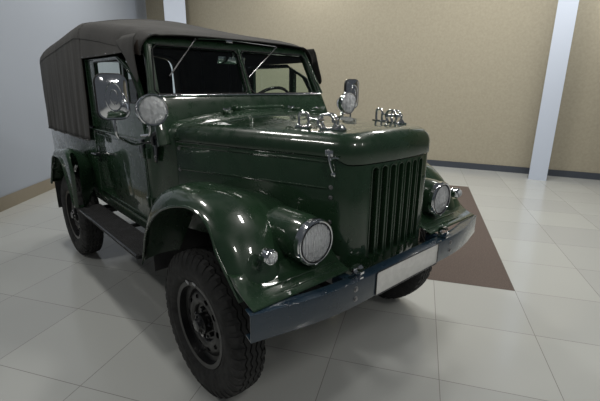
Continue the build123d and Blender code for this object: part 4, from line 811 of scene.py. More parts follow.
def pull(station, x):
    """Creases that run back and inwards from the canopy's front corners, in mm."""
    if station > 1700:
        return 0
    away = math.hypot(station - 700, abs(x) - 690)
    way = math.atan2(station - 700, 690 - abs(x))
    return 5.5 * math.sin(way * 15 + 0.8) * math.exp(-away / 330) * min(1, away / 90)


def thicken(o):
    """Gives a cloth its thickness."""
    solid = o.modifiers.new("cloth", "SOLIDIFY")
    solid.thickness = CLOTH_THICK
    return solid


def canopy():
    """The cloth over the roof and down both sides, lined with its paler underside."""
    s, last = CLOTH[0][0], CLOTH[-1][0]
    stations = {1694, SIDE_FROM, last}
    while s < last:
        stations.add(s)
        s += 14 if s > 1690 else 18
    cross = [-1 + i / 48 for i in range(97)]
    piece = Piece("canopy_cloth", CANVAS, angle=70)
    grid = [[cloth_point(st, c) for c in cross] for st in sorted(stations)]
    piece.loft(grid, closed_round=False)
    o = piece.done()
    o.data.materials.append(LINING)
    solid = thicken(o)
    solid.offset = -1
    solid.material_offset = 1
    return o


def rear_curtain():
    """The rear curtain, with its window opening, tucked inside the side curtains."""
    piece = Piece("rear_curtain", CANVAS, angle=70)
    half, flat_half, hem, station = 668, 560, 1090, 3180
    crown, edge = (height - 6 for height in cloth_row(station)[2:4])

    def top(x):
        t = abs(x) / flat_half
        if t <= 1:
            return crown + (edge - crown) * t * t
        u = (abs(x) - flat_half) / (half - flat_half)
        return edge - EAVE_ROUND * (1 - math.sqrt(max(0, 1 - u * u)))

    across, up = 64, 40
    verts = []
    for i in range(up + 1):
        share = i / up
        for k in range(across + 1):
            x = -half + k * 2 * half / across
            z = hem + (top(x) - hem) * share
            wave = 5 * noise.noise(V(x * 0.009, z * 0.002, 5.5)) * (1 - share * 0.6)
            verts.append(P(x, station + wave, z))
    m = across + 1
    faces = []
    for i in range(up):
        for k in range(across):
            quad = [i * m + k, i * m + k + 1, (i + 1) * m + k + 1, (i + 1) * m + k]
            middle = sum((verts[q] for q in quad), Vector()) / 4 * 1000
            if abs(middle.x) < 232 and 1566 < middle.z < 1746:
                continue
            faces.append(quad)
    piece.add(verts, faces)
    o = piece.done()
    thicken(o)
    return o


cloth = canopy()
rear = rear_curtain()
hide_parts("canopy_roof", "canopy_walls")


# Seams, hems and eyelets
seam = Piece("canopy_seams", CANVAS)
for st in (1735, 2960):
    for off in (0, 26):
        seam.wire([cloth_point(st + off, i / 40 - 0.5) for i in range(41)], 0.0016, 6)
for s_val in (-0.5, 0.5):
    seam.wire([cloth_point(st, s_val) for st in range(1000, 3180, 40)], 0.0018, 6)
seam.wire([cloth_point(731, i / 48 - 0.5) for i in range(49)], 0.0045)
for s_val in (-1, 1):
    seam.wire([cloth_point(st, s_val) for st in range(SIDE_FROM, 3187, 12)], 0.0035)
    seam.wire([cloth_point(st, s_val) for st in range(850, 1694, 24)], 0.003)
    seam.wire([cloth_point(SIDE_FROM, s_val * (0.5 + i / 40)) for i in range(21)], 0.0035)
seam.done()
eyelets = Piece("canopy_eyelets", CHROME)
for i in range(-4, 5):
    c = i * 0.098
    at = cloth_point(742, c)
    nrm = (cloth_point(742, c + 0.01) - cloth_point(742, c - 0.01)).cross(cloth_point(760, c) - at)
    nrm = nrm if nrm.z > 0 else -nrm
    brim = [(0.0, 0.008), (0.002, 0.0075), (0.003, 0.0055), (0.002, 0.003), (0.0, 0.0025)]
    eyelets.revolve(brim, at, nrm, 14)
for st in (1010, 1180, 1350, 1520, 1660):
    for sd in (-1, 1):
        eyelets.bolt(cloth_point(st, sd * 0.985), V(sd, 0, 0), 0.006, 0.003, "rivet")
eyelets.done()

# Pointed flaps of the canopy down the windscreen's posts

FLAP_ROWS = [
    # height, front station, rear station, x
    (1784, 728, 1040, 668),
    (1760, 724, 1010, 684),
    (1730, 718, 960, 692),
    (1700, 712, 905, 697),
    (1660, 702, 850, 700),
    (1620, 690, 805, 702),
    (1580, 676, 760, 703),
    (1545, 668, 716, 703),
    (1525, 680, 694, 702),
]


def corner_flap(sd):
    """One of the flaps, with a slight bulge."""
    flap = Piece("canopy_flap_" + ("left" if sd > 0 else "right"), CANVAS)
    rows = []
    for z, a, b, x in FLAP_ROWS:
        row = []
        for i in range(15):
            st = a + (b - a) * i / 14
            bulge = 5 * noise.noise(V(st * 0.012, z * 0.008, sd * 2.0))
            row.append(P(sd * (x + 5 + bulge), st, z))
        rows.append(row)
    flap.loft(rows, closed_round=False)
    o = flap.done()
    thicken(o)


sides(corner_flap)

# Windscreen trim

TILT = math.radians(24.8)
SCREEN_OUT = V(0, -math.cos(TILT), math.sin(TILT))


def screen(x, z, off=0.0):
    """A point on the windscreen's middle plane, off mm in front of it."""
    st = 640 + (z - 1448) * math.tan(TILT)
    return P(x, st, z) + SCREEN_OUT * off / 1000


strip = Piece("screen_chrome_strip", CHROME)
strip.wire([screen(-642, 1446, 20), screen(642, 1446, 20)], 0.0065, 10)
strip.done()
gasket = Piece("screen_gaskets", RUBBER)
for sd in (-1, 1):
    pane = [(15, 1454), (638, 1454), (582, 1724), (15, 1724)]
    loop = []
    for i, (x, z) in enumerate(pane):
        for ox, oz in (pane[i - 1], pane[(i + 1) % 4]):
            share = 24 / math.hypot(ox - x, oz - z)
            loop.append(screen(sd * (x + (ox - x) * share), z + (oz - z) * share, 19))
    gasket.hoop(loop, 0.0045)
gasket.done()
posts = Piece("screen_posts", GREEN)
posts.wire([screen(0, 1450, 17), screen(0, 1732, 17)], 0.011, 10)
for sd in (-1, 1):
    posts.wire([screen(sd * 668, 1452, 14), screen(sd * 608, 1756, 14)], 0.010, 10)
posts.done()
WIPERS = [
    (screen(-309, 1762, 40), screen(-528, 1551, 24)),
    (screen(316, 1752, 40), screen(26, 1556, 24)),
]
wiper = Piece("wipers", STEEL)
blade = Piece("wiper_blades", RUBBER)
for pivot, tip in WIPERS:
    wiper.revolve([(-0.022, 0.007), (0.004, 0.007), (0.008, 0.004)], pivot, SCREEN_OUT, 14)
    mid = pivot.lerp(tip, 0.52)
    wiper.tube([pivot, pivot.lerp(tip, 0.3) + SCREEN_OUT * 0.004, mid], 0.0028, 8)
    wiper.wire([pivot.lerp(tip, 0.40), tip], 0.0042, 6)
    heel = pivot.lerp(tip, 0.38) - SCREEN_OUT * 0.006
    blade.wire([heel, tip - SCREEN_OUT * 0.004], 0.0035, 6)
wiper.done()
blade.done()
inner_mirror = Piece("inner_mirror", CHROME)
inner_mirror.block(P(5, 842, 1674), (0.215, 0.014, 0.052), Matrix.Rotation(0.2, 3, "X"), 0.006)
inner_mirror.tube([P(5, 836, 1684), P(5, 800, 1730), P(5, 778, 1752)], 0.005, 8)
inner_mirror.done()
rod = Piece("wiper_link", CHROME)
rod.tube([screen(-290, 1766, 44), screen(-69, 1772, 46), screen(314, 1760, 44)], 0.0035, 8)
rod.block(screen(-69, 1772, 40), (0.05, 0.03, 0.03), None, 0.006)
rod.done()
screen_hinges = Piece("screen_hinges", BLACK)


def screen_hinge(sd):
    """The plate and arm that the windscreen folds on."""
    outline = [(-0.030, 0.085), (0.030, 0.075), (0.026, -0.02)]
    outline += [(0.012, -0.085), (-0.014, -0.09), (-0.026, -0.02)]
    screen_hinges.plate(outline, P(sd * 672, 600, 1175), V(0, 1, 0.02), V(0, -0.12, 1), 0.008 * sd, 0.0015)
    screen_hinges.tube([P(sd * 668, 566, 1262), P(sd * 690, 592, 1240), P(sd * 686, 600, 1190)], 0.012, 10)


sides(screen_hinge)
screen_hinges.done()
hinge_bolts = Piece("screen_hinge_bolts", STEEL)
for sd in (-1, 1):
    for st, z in ((596, 1232), (603, 1190), (598, 1120)):
        hinge_bolts.bolt(P(sd * 681, st, z), V(sd, 0, 0), 0.008, 0.007)
hinge_bolts.done()

# Trim of the bonnet, nose and cowl


NOSE_TAPER = 0.2925


def nose_out(sd):
    """The way out from the nose's side."""
    return V(sd, -NOSE_TAPER, 0).normalized()


def nose_point(sd, st, z, off=0.0):
    """A point on the nose's side, off mm outside it."""
    return P(sd * (335 + NOSE_TAPER * (st + 475)), st, z) + nose_out(sd) * off / 1000


beads = Piece("nose_beads", GREEN)


def nose_bead(sd):
    """The pressed lines along the nose's side."""
    for z0, rise in ((1196, 4), (1066, 17)):
        line = [nose_point(sd, st, z0 + rise * (450 - st) / 890, -1.5) for st in range(450, -441, -40)]
        beads.tube(line, 0.0055, 8)
    beads.tube([nose_point(sd, st, 1216, -1.0) for st in range(468, -470, -60)], 0.004, 8)


sides(nose_bead)
beads.done()
nose_bolts = Piece("nose_bolts", STEEL)
for sd in (-1, 1):
    for st, z in ((452, 1180), (455, 1062), (-448, 1090), (-448, 1044), (452, 900), (-448, 930)):
        nose_bolts.bolt(nose_point(sd, st, z), nose_out(sd), 0.0075, 0.006)
nose_bolts.done()

latch = Piece("hood_latches", CHROME)


def hood_latch(sd):
    """The spring latch at the bonnet's front corner."""
    n = nose_out(sd)
    top, low = nose_point(sd, -440, 1246, 12), nose_point(sd, -462, 1148, 8)
    latch.tube([top, top.lerp(low, 0.3) + n * 0.010, top.lerp(low, 0.7) + n * 0.008, low], 0.0045, 10)
    latch.block(nose_point(sd, -440, 1240, 4), (0.018, 0.042, 0.030), None, 0.005)
    latch.revolve([(-0.004, 0.011), (0.012, 0.011), (0.016, 0.006)], nose_point(sd, -462, 1150, 0), n, 16)
    lever = ((-447, 1214, 14), (-475, 1224, 20), (-490, 1222, 20))
    latch.tube([nose_point(sd, *place) for place in lever], 0.005, 8)


sides(hood_latch)
latch.done()
rest = Piece("screen_rests", CHROME, "hood")


def screen_rest(sd):
    """The cradle beside the bonnet's edge that holds the folded windscreen: hoop, rod and claw."""
    along = V(-sd * 0.281, -0.960, 0)
    across = V(0.960, -sd * 0.281, 0)
    mid = P(sd * 262, -300, 0)

    def at(a, w, z):
        place = mid + (along * a + across * w) / 1000
        foot = top_of("hood", place.x * 1000, place.y * 1000 - FRONT_AXLE)
        return foot + V(0, 0, z / 1000)

    turned = Matrix((across, -along, V(0, 0, 1))).transposed()
    for a, length in ((-92, 74), (62, 112)):
        rest.block(at(a, 0, 3), (0.044, length / 1000, 0.012), turned, 0.004)
        for b in (-1, 1):
            rest.bolt(at(a + b * length * 0.38, 0, 8), V(0, 0, 1), 0.006, 0.005)
    hoop = ((-118, 4), (-120, 44), (-114, 62), (-92, 66), (-72, 62), (-66, 44), (-68, 4))
    rest.tube([at(a, 0, z) for a, z in hoop], 0.0065, 10)
    rest.wire([at(-66, 0, 42), at(-10, 0, 40)], 0.0055, 10)
    for w in (-16, 16):
        claw = ((8, 4), (-6, 26), (-4, 50), (16, 64), (46, 66), (64, 58))
        rest.tube([at(a, w, z) for a, z in claw], lambda t: 0.0075 - 0.003 * t, 10)
        rest.tube([at(66, w, 6), at(78, w, 28), at(74, w, 46), at(62, w, 56)], 0.006, 10)
    for a, z in ((-4, 36), (72, 40)):
        rest.revolve([(-0.024, 0.008), (0.024, 0.008)], at(a, 0, z), across, 14)
    rest.tube([at(84, 0, 10), at(104, 0, 20), at(120, 0, 6), at(126, 0, 4)], 0.0055, 8)
    rest.tube([at(96, -18, 6), at(112, -20, 16), at(124, -22, 4)], 0.005, 8)


sides(screen_rest)
rest.done()
wing = Piece("cowl_fittings", CHROME)
for sd in (-1, 1):
    base = top_of("cowl", sd * 255, 508)
    wing.revolve([(-0.004, 0.016), (0.004, 0.016), (0.008, 0.010), (0.022, 0.009)], base, V(0, 0, 1), 16)
    for a in (-1, 1):
        spread = Matrix.Rotation(a * -0.4, 3, "Y")
        wing.block(base + V(a * 0.018, 0, 0.020), (0.022, 0.005, 0.014), spread, 0.002)
    strap = ((0, 0, 0.008), (sd * 0.02, -0.05, 0.006), (sd * 0.03, -0.085, -0.002))
    wing.tube([base + V(*place) for place in strap], 0.005, 8)
wing.done()
rear_line = Piece("hood_rear_bead", GREEN)
pts = []
for i in range(49):
    angle = math.radians(-86 + 172 * i / 48)
    away = V(math.sin(angle), 0, math.cos(angle))
    found = cast("cowl", P(0, 482, 1180) + away * 2, -away)
    if found and found[0].z > 1.225:
        pts.append(found[0])
rear_line.wire(pts, 0.0045)
rear_line.done()

# A dark core that shows between the grille's slots
grille_back = Piece("grille_back", CORE, smooth=False)
grille_back.block(P(0, -508, 960), (0.50, 0.004, 0.46), None, 0)
grille_back.done()

# Rolled edges of the wheel openings, and the mud flaps behind the rear wheels


def arc(a, b, c, steps):
    """Points (station, z) along the circle through three points."""
    (ax, ay), (bx, by), (cx, cy) = a, b, c
    d = 2 * (ax * (by - cy) + bx * (cy - ay) + cx * (ay - by))
    aa, bb, cc = ax * ax + ay * ay, bx * bx + by * by, cx * cx + cy * cy
    ux = (aa * (by - cy) + bb * (cy - ay) + cc * (ay - by)) / d
    uy = (aa * (cx - bx) + bb * (ax - cx) + cc * (bx - ax)) / d
    r = math.hypot(ax - ux, ay - uy)
    start, through, end = (math.atan2(y - uy, x - ux) for x, y in (a, b, c))
    sweep = (end - start) % (2 * math.pi)
    if (through - start) % (2 * math.pi) > sweep:
        sweep -= 2 * math.pi
    angles = [start + sweep * i / steps for i in range(steps + 1)]
    return [(ux + r * math.cos(k), uy + r * math.sin(k)) for k in angles]


def rounded_line(points, radius, steps=8):
    """A line of (station, z) points with its inner corners rounded."""
    out = [points[0]]
    for a, b, c in zip(points, points[1:], points[2:]):
        u = Vector(a) - Vector(b)
        w = Vector(c) - Vector(b)
        half = u.angle(w) / 2
        cut = radius / math.tan(half)
        p, q = Vector(b) + u.normalized() * cut, Vector(b) + w.normalized() * cut
        centre = Vector(b) + (u.normalized() + w.normalized()).normalized() * (radius / math.sin(half))
        middle = centre + (Vector(b) - centre).normalized() * radius
        out += arc(tuple(p), tuple(middle), tuple(q), steps)
    return out + [points[-1]]


def along_line(points, gap):
    """The same line with a point every gap mm."""
    out = []
    for a, b in zip(points, points[1:]):
        n = max(1, round(math.dist(a, b) / gap))
        out += [(a[0] + (b[0] - a[0]) * i / n, a[1] + (b[1] - a[1]) * i / n) for i in range(n)]
    return out + [points[-1]]


FRONT_OPENING = (
    arc((466, 596), (237, 880), (-101, 1019), 24)
    + arc((-101, 1019), (-235, 992), (-330, 900), 10)[1:]
    + [(-522, 664)]
)
REAR_OPENING = rounded_line(((1775, 550), (2010, 935), (2290, 930), (2560, 600)), 150)
OPENINGS = (("fenders_front", FRONT_OPENING, (-40, 560)), ("fenders_rear", REAR_OPENING, (2150, 500)))
rolled = Piece("opening_beads", GREEN)
for sd in (-1, 1):
    for node, line, middle in OPENINGS:
        edge_points = []
        for st, z in along_line(line, 24):
            out = (Vector((st, z)) - Vector(middle)).normalized() * 5
            at = outside_of(node, sd, st + out.x, z + out.y)
            if at is not None and abs(at.x) > 0.66:
                edge_points.append(at + V(sd * 0.0005, 0, 0))
        rolled.wire(edge_points, 0.0058)
rolled.done()
shield = Piece("splash_shields", CHASSIS)
for sd in (-1, 1):
    shield.block(P(sd * 560, 541, 590), (0.420, 0.004, 0.260), None, 0.0015)
shield.done()
mud = Piece("mud_flaps", RUBBER)
mud_bolts = Piece("mud_flap_bolts", STEEL)
for sd in (-1, 1):
    mud.block(P(sd * 742, 2648, 520), (0.176, 0.006, 0.300), None, 0.002)
    mud.block(P(sd * 742, 2643, 652), (0.176, 0.006, 0.026), None, 0.002)
    for x in (676, 742, 808):
        mud_bolts.bolt(P(sd * x, 2640, 652), V(0, -1, 0), 0.006, 0.004)
mud.done()
mud_bolts.done()

# Lamps

BACK = V(0, 1, 0)


def headlamp_at(sd):
    """The middle of a headlamp."""
    return P(sd * 502, -507, 897)


def spotlight_at(sd):
    """The middle of a spotlight."""
    return P(sd * 745, 450, 1390)


def marker_at(sd):
    """The middle of a marker lamp."""
    return P(sd * 726, -490, 891)


bowls = Piece("lamp_bowls", BOWL)
for sd in (-1, 1):
    bowl = [(0.055, 0.008), (0.040, 0.038), (0.016, 0.066), (-0.004, 0.079)]
    bowls.revolve(bowl, headlamp_at(sd), BACK, 40)
bowls.done()
spot_glass = Piece("spot_lenses", SPOT_LENS)
spot_back = Piece("spot_bowls", BOWL)
for sd in (-1, 1):
    c = spotlight_at(sd)
    dome = [(-0.029, 0.071), (-0.037, 0.066), (-0.044, 0.048), (-0.048, 0.024), (-0.0485, 0.0)]
    spot_glass.revolve(dome, c, BACK, 40)
    spot_back.revolve([(-0.0345, 0.069), (-0.0355, 0.04), (-0.036, 0.0)], c, BACK, 40)
spot_glass.done()
spot_back.done()
ring = Piece("lamp_rings", CHROME)
lamp_seal = Piece("lamp_seals", RUBBER)
for sd in (-1, 1):
    c = spotlight_at(sd) - BACK * 0.029
    ring.hoop(oval(c, 0.0755, 0.0755, 40), 0.0065)
    c = headlamp_at(sd)
    ring.hoop(oval(c - BACK * 0.019, 0.091, 0.091, 48), 0.0055)
    lamp_seal.hoop(oval(c - BACK * 0.022, 0.0835, 0.0835, 48), 0.0022)
    ring.block(c + V(0, -0.020, -0.094), (0.020, 0.012, 0.014), None, 0.003)
    foot = P(sd * 745, 476, 1300)
    for i in range(4):
        a = i * 0.011
        ring.revolve([(a, 0.012), (a + 0.005, 0.017), (a + 0.010, 0.012)], foot, V(0, 0, 1), 16)
    c = marker_at(sd) - BACK * 0.022
    ring.hoop(oval(c, 0.027, 0.027, 24), 0.004)
ring.done()
lamp_seal.done()
marker_glass = Piece("marker_lenses", LENS)
for sd in (-1, 1):
    dome = [(-0.030, 0.022), (-0.037, 0.019), (-0.042, 0.010), (-0.043, 0.0)]
    marker_glass.revolve(dome, marker_at(sd), BACK, 24)
marker_glass.done()
tail = Piece("tail_lenses", RED)
for sd in (-1, 1):
    dome = [(0.0, 0.031), (0.006, 0.029), (0.010, 0.018), (0.011, 0.0)]
    tail.revolve(dome, P(sd * 622, 3184, 790), BACK, 28)
tail.done()

# Mirrors

mirror_glass = Piece("mirror_glasses", CHROME)
mirror_rim = Piece("mirror_rims", RUBBER)


def rounded_rect(w, h, r, n=6):
    """The outline of a rectangle with round corners."""
    out = []
    for quarter, (right, top) in enumerate(((1, 1), (-1, 1), (-1, -1), (1, -1))):
        cx, cy = right * (w / 2 - r), top * (h / 2 - r)
        for i in range(n + 1):
            a = math.radians(90 * quarter + 90 * i / n)
            out.append((cx + r * math.cos(a), cy + r * math.sin(a)))
    return out


for sd in (-1, 1):
    c = P(sd * 900, 530, 1454)
    rim = [c + V(x, -0.004, z) for x, z in rounded_rect(0.146, 0.211, 0.039)]
    mirror_rim.hoop(rim, 0.0075)
    shell = rounded_rect(0.138, 0.203, 0.037)
    levels = ((1.0, 0.0), (0.82, 0.009), (0.55, 0.014), (0.2, 0.0165), (0.02, 0.017))
    mirror_glass.loft([[c + V(x * k, -0.012 - d, z * k) for x, z in shell] for k, d in levels], caps=True)
    mirror_glass.hoop(oval(c - BACK * 0.0255, 0.040, 0.068, 36), 0.004)
    mirror_glass.hoop(oval(c - BACK * 0.0285, 0.018, 0.036, 28), 0.003)
mirror_glass.done()
mirror_rim.done()

# Doors

REAR_PANE = ((1002, 1408), (1500, 1408), (1500, 1655), (1002, 1655))
FRONT_PANE = ((770, 1408), (944, 1408), (944, 1618), (842, 1570), (770, 1478))


def door_bits(sd):
    """What is fixed to a door and swings with it."""
    tag = "left" if sd > 0 else "right"
    body = f"door_{tag}"
    bead = Piece(f"door_beads_{tag}", GREEN, body)
    face = 690.5
    pillar = face - 7
    bead.wire([P(sd * face, 722, 1206), P(sd * face, 1680, 1187)], 0.0045)
    bead.wire([P(sd * (face - 8), 724, 1330), P(sd * (face - 8), 1684, 1313)], 0.004)
    frame_line = [(724, 1430), (800, 1556), (1052, 1672), (1688, 1676), (1688, 1210)]
    bead.wire([P(sd * pillar, a, b) for a, b in frame_line], 0.007)
    panel = ((730, 1160), (730, 720), (1670, 720), (1670, 1160), (730, 1160))
    bead.wire([P(sd * face, a, b) for a, b in panel], 0.0028, 6)
    bead.done()
    handle = Piece(f"door_handle_{tag}", BLACK, body)
    base = P(sd * 690, 1606, 1010)
    foot = [(-0.012, 0.055), (0.012, 0.055), (0.012, -0.055), (-0.012, -0.055)]
    handle.plate(foot, base, V(0, sd, 0), V(0, 0, 1), 0.004)
    stem = [(0, 0.013), (0.026, 0.011), (0.034, 0.013), (0.044, 0.013), (0.047, 0.008)]
    handle.revolve(stem, base, V(sd, 0, 0), 16)
    grip = ((sd * 0.040, -0.062, 0.002), (sd * 0.043, 0, 0), (sd * 0.040, 0.058, -0.003))
    handle.tube([base + V(*place) for place in grip], 0.0085, 10)
    handle.done()
    hinge = Piece(f"door_hinges_{tag}", BLACK, body)
    hinge.block(P(sd * 697, 742, 1166), (0.014, 0.060, 0.085), None, 0.003)
    hinge.done()
    screws = Piece(f"door_screws_{tag}", STEEL, body)
    for z in (808, 852, 1108, 1152):
        for st in (732, 748):
            screws.bolt(P(sd * 698, st, z), V(sd, 0, 0), 0.0045, 0.003, "rivet")
    screws.done()
    seal = Piece(f"window_seals_{tag}", RUBBER, body)
    x = sd * 683
    for outline in (REAR_PANE, FRONT_PANE):
        seal.hoop([P(x, a, b) for a, b in outline], 0.0045)
    seal.done()


sides(door_bits)

# Running boards, bumper and plate

ribs = Piece("board_ribs", RUBBER)
for sd in (-1, 1):
    for i in range(11):
        x = 706 + i * 14
        ribs.wire([P(sd * x, 566, 581), P(sd * x, 1680, 581)], 0.0035, 6)
ribs.done()
edge = Piece("board_edges", BLACK)
for sd in (-1, 1):
    edge.wire([P(sd * 859, 556, 578), P(sd * 859, 1690, 578)], 0.006)
edge.done()
plate = Piece("blank_plate", PLATE)
plate.plate(rounded_rect(0.516, 0.110, 0.010), P(0, -661, 676), V(1, 0, 0), V(0, 0, 1), 0.0015, 0.0006)
plate.done()
plate_rim = Piece("blank_plate_rim", BLACK)
rim = [P(0, -663, 676) + V(x, 0, z) for x, z in rounded_rect(0.520, 0.113, 0.012)]
plate_rim.hoop(rim, 0.003)
plate_rim.done()
bumper_bolts = Piece("bumper_bolts", STEEL)
for sd in (-1, 1):
    for z in (655, 700):
        bumper_bolts.bolt(P(sd * 396, -659, z), V(0, -1, 0), 0.009, 0.007)
bumper_bolts.done()

# Seats


def cushion(name, centre, size, lean=0.0):
    """A crowned pad with sewn channels across its face."""
    bm = bmesh.new()
    bmesh.ops.create_cube(bm, size=1)
    bmesh.ops.subdivide_edges(bm, edges=bm.edges[:], cuts=15, use_grid_fill=True)
    w, d, h = size
    for v in bm.verts:
        x, y, z = v.co * 2
        pinch = (1 - 0.10 * abs(x) ** 6) * (1 - 0.10 * abs(y) ** 6)
        crown = (1 - x**4) * (1 - y**4)
        groove = 0.10 * max(0.0, math.cos(x * math.pi * 3)) ** 8
        px, py = x * w / 2 * (1 - 0.03 * z * z), y * d / 2 * (1 - 0.03 * z * z)
        pz = z * h / 2 * (0.72 + 0.28 * crown) * pinch
        if z > 0.9:
            pz -= groove * h * 0.5
        v.co = Vector((px, py, pz))
    rot = Matrix.Rotation(lean, 3, "X")
    verts = [rot @ v.co + Vector(centre) for v in bm.verts]
    faces = [[v.index for v in f.verts] for f in bm.faces]
    bm.free()
    piece = Piece(name, VINYL, angle=80)
    piece.add(verts, faces)
    o = piece.done()
    return o


for sd, tag in ((-1, "right"), (1, "left")):
    cushion(f"seat_pad_{tag}", P(sd * 345, 1280, 904), (0.468, 0.44, 0.112))
    lean = math.radians(83.4)
    cushion(f"seat_back_{tag}", P(sd * 345, 1574, 1140), (0.468, 0.52, 0.100), lean)
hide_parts("seat_cushions")

# Dashboard dials

dials = Piece("dash_dials", PLASTIC)
dial_rims = Piece("dash_dial_rims", CHROME)
for x in (170, 70, -30):
    c = P(x, 672, 1190)
    dials.revolve([(-0.004, 0.038), (0.004, 0.038), (0.006, 0.034)], c, V(0, 1, 0.2), 24)
    rim = [(0.002, 0.042), (0.008, 0.041), (0.009, 0.036), (0.004, 0.036)]
    dial_rims.revolve(rim, c, V(0, 1, 0.2), 28, closed=True)
dials.done()
dial_rims.done()

# Stage, light and camera


def stage_plane(name, corners, material):
    """A flat face of the stage."""
    mesh = bpy.data.meshes.new(name)
    mesh.from_pydata([Vector(c) for c in corners], [], [list(range(len(corners)))])
    o = bpy.data.objects.new(name, mesh)
    bpy.context.scene.collection.objects.link(o)
    mesh.materials.append(material)
    return o


# The hall's floor, its carpet and its walls, as far as the picture shows them
TILE = 0.6
TILE_TURN = math.radians(31.4)
CARPET_CORNER = P(1529, -674, 0)
along_hall = V(math.cos(TILE_TURN), math.sin(TILE_TURN), 0)
across_hall = V(-math.sin(TILE_TURN), math.cos(TILE_TURN), 0)

# Polished stone tiles, 600 mm with thin joints: pale, with a blurred mirror of what stands on them
FLOOR = finish("floor_tiles", "#b1b3b1", 0.16, gloss=(500.0, 4, 0.10, 0.24))
ground = FLOOR.node_tree
place = add(ground, "TexCoord")
tiles = add(
    ground,
    "Mapping",
    [(place.outputs["Object"], "Vector")],
    Rotation=(0, 0, -TILE_TURN),
    Location=(-CARPET_CORNER.dot(along_hall), -CARPET_CORNER.dot(across_hall), 0),
)
bricks = add(
    ground,
    "TexBrick",
    [(tiles.outputs["Vector"], "Vector")],
    Color1=shade("#b1b3b0"),
    Color2=shade("#aaacaa"),
    Mortar=shade("#868582"),
    Scale=1.0,
    Mortar_Size=0.0022,
    Brick_Width=TILE,
    Row_Height=TILE,
    offset=0.0,
)
ground.links.new(bricks.outputs["Color"], ground.nodes["Principled BSDF"].inputs["Base Color"])
stage_plane("floor", [(-14, -12, 0), (14, -12, 0), (14, 14, 0), (-14, 14, 0)], FLOOR)

# Emulsion on plaster: matt and a cool grey
WALL_LEFT = finish("wall_pale", "#9ba2ad", 0.85)
# Wall cloth: matt and a warm grey, finely mottled
WALL_RIGHT = finish("wall_fabric", "#a29b89", 0.85, tone=(38.46, 5, 0.92, 1.07))
# Painted skirting boards and a painted column: half dull
SKIRTING = finish("skirting_grey", "#424750", 0.4, gloss=(111.1, 3, 0.3, 0.5))
SKIRTING_LEFT = finish("skirting_tan", "#867e6f", 0.5, gloss=(111.1, 3, 0.4, 0.6))
COLUMN = finish("column_white", "#c5cedd", 0.5, gloss=(111.1, 3, 0.4, 0.6))
# Wool pile: brown, matt and mottled
CARPET = finish("carpet", "#5b504a", 0.9, tone=(7.143, 3, 0.6, 1.35))


def seen_from_inside(material):
    """The wall shows only from the hall's side, so that a camera behind it sees the vehicle."""
    tree = material.node_tree
    face = add(tree, "NewGeometry").outputs["Backfacing"]
    ray = add(tree, "LightPath").outputs["Is Camera Ray"]
    behind = add(tree, "Math", [(face, 0), (ray, 1)], operation="MULTIPLY")
    solid = tree.nodes["Principled BSDF"]
    clear = add(tree, "BsdfTransparent")
    mix = add(tree, "MixShader", [(behind.outputs[0], 0), (solid.outputs[0], 1), (clear.outputs[0], 2)])
    tree.links.new(mix.outputs[0], tree.nodes["Material Output"].inputs["Surface"])


for material in (WALL_LEFT, WALL_RIGHT, SKIRTING, SKIRTING_LEFT, COLUMN):
    seen_from_inside(material)
WALL_HEIGHT = 5.2
corner = P(2851, 8981, 0)
wall_left_way = V(-727, -852, 0).normalized()
wall_right_way = V(1132, -2667, 0).normalized()


def wall(name, way, length, height, material, out=0.0):
    """A wall from the hall's corner; out moves it into the hall."""
    inward = V(way.y, -way.x, 0)
    faces_in = inward.dot(-corner) > 0
    if not faces_in:
        inward = -inward
    a = corner + inward * out
    b = a + way * length
    up = V(0, 0, height)
    corners = [a, b, b + up, a + up]
    return stage_plane(name, corners if faces_in else corners[::-1], material)


wall("wall_left", wall_left_way, 7.6, WALL_HEIGHT, WALL_LEFT)
wall("wall_right", wall_right_way, 16, WALL_HEIGHT, WALL_RIGHT)
wall("skirting_left", wall_left_way, 7.6, 0.17, SKIRTING_LEFT, 0.012)
wall("skirting_right", wall_right_way, 16, 0.115, SKIRTING, 0.012)


def column(name, foot, width, facing):
    """Two faces of a square white column that stands in front of the wall."""
    side = V(-facing.y, facing.x, 0)
    up = V(0, 0, WALL_HEIGHT)
    edge = foot - side * width / 2
    for tag, other in (("a", edge + side * width), ("b", edge - facing * width)):
        stage_plane(f"{name}_{tag}", [edge, other, other + up, edge + up], COLUMN)


column("column_near", P(5870, 600, 0), 0.27, V(-0.92, -0.39, 0))
column("column_far", corner + wall_right_way * 1.35 + V(-0.5, -0.25, 0), 0.46, V(-0.35, -0.94, 0))
near = CARPET_CORNER + V(0, 0, 0.001)
length, width = along_hall * 3.48, across_hall * 1.2
stage_plane("carpet", [near, near + length, near + length + width, near + width], CARPET)

scene = bpy.context.scene
world = bpy.data.worlds.new("room")
scene.world = world
world.use_nodes = True
sky = world.node_tree.nodes["Background"]
sky.inputs["Color"].default_value = shade("#cbd4dd")
sky.inputs["Strength"].default_value = 0.10


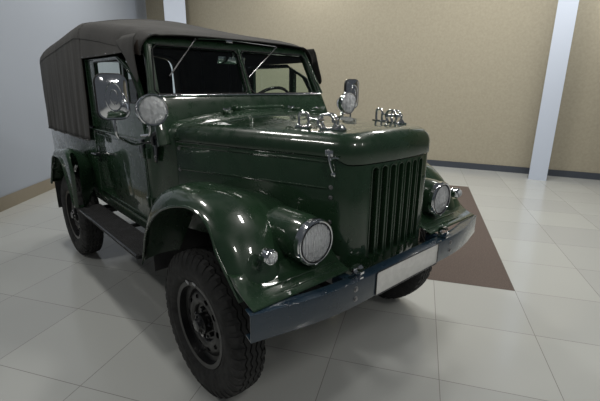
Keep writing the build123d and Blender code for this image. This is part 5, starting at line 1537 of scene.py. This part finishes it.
def lamp(name, at, size, power, target, colour="#fffcf6", mirrored_in_paint=True):
    """An area lamp turned to its target, its size in metres and its power in watts."""
    light = bpy.data.lights.new(name, "AREA")
    light.shape = "RECTANGLE"
    light.size, light.size_y = size
    light.energy = power
    light.color = shade(colour)[:3]
    o = bpy.data.objects.new(name, light)
    scene.collection.objects.link(o)
    o.location = at
    o.rotation_mode = "QUATERNION"
    o.rotation_quaternion = (Vector(target) - Vector(at)).to_track_quat("-Z", "Y")
    o.visible_glossy = mirrored_in_paint


CEILING = 4600
CEILING_LAMPS = (
    (-1050, 1990),
    (1370, -690),
    (-1150, -3800),
    (1270, 5020),
    (3900, 900),
    (3700, 4400),
    (1500, -4600),
    (-3600, 1200),
)
for i, (x, station) in enumerate(CEILING_LAMPS):
    at = P(x, station, CEILING)
    lamp(f"ceiling_{i}", at, size=(0.30, 0.80), power=50, target=at - V(0, 0, 1))
lamp(
    "hall_light",
    (4.5, -0.5, 4.4),
    size=(5.0, 5.0),
    power=165,
    target=(3.5, 3.5, 0.6),
    colour="#fffdf8",
    mirrored_in_paint=False,
)
lamp(
    "front_fill",
    (-2.5, -6.5, 3.4),
    size=(3.0, 1.6),
    power=30,
    target=(0, -0.5, 0.8),
    colour="#fffdf9",
    mirrored_in_paint=False,
)

camera = bpy.data.cameras.new("camera")
cam = bpy.data.objects.new("camera", camera)
scene.collection.objects.link(cam)
scene.camera = cam
# The camera's turn, tilt and roll in radians, solved on the photograph, as its place is
YAW, PITCH, ROLL = 0.738, 0.281, 0.009
ahead = V(math.sin(YAW) * math.cos(PITCH), math.cos(YAW) * math.cos(PITCH), -math.sin(PITCH))
level = V(math.cos(YAW), -math.sin(YAW), 0)
upright = level.cross(ahead)
to_right = level * math.cos(ROLL) + upright * math.sin(ROLL)
to_top = upright * math.cos(ROLL) - level * math.sin(ROLL)
stand = Matrix((to_right, to_top, -ahead)).transposed().to_4x4()
stand.translation = P(-1586.5, -1616.1, 1519.9)
cam.matrix_world = stand
camera.sensor_width = 36
camera.lens = 24.06
scene.view_settings.view_transform = "Standard"
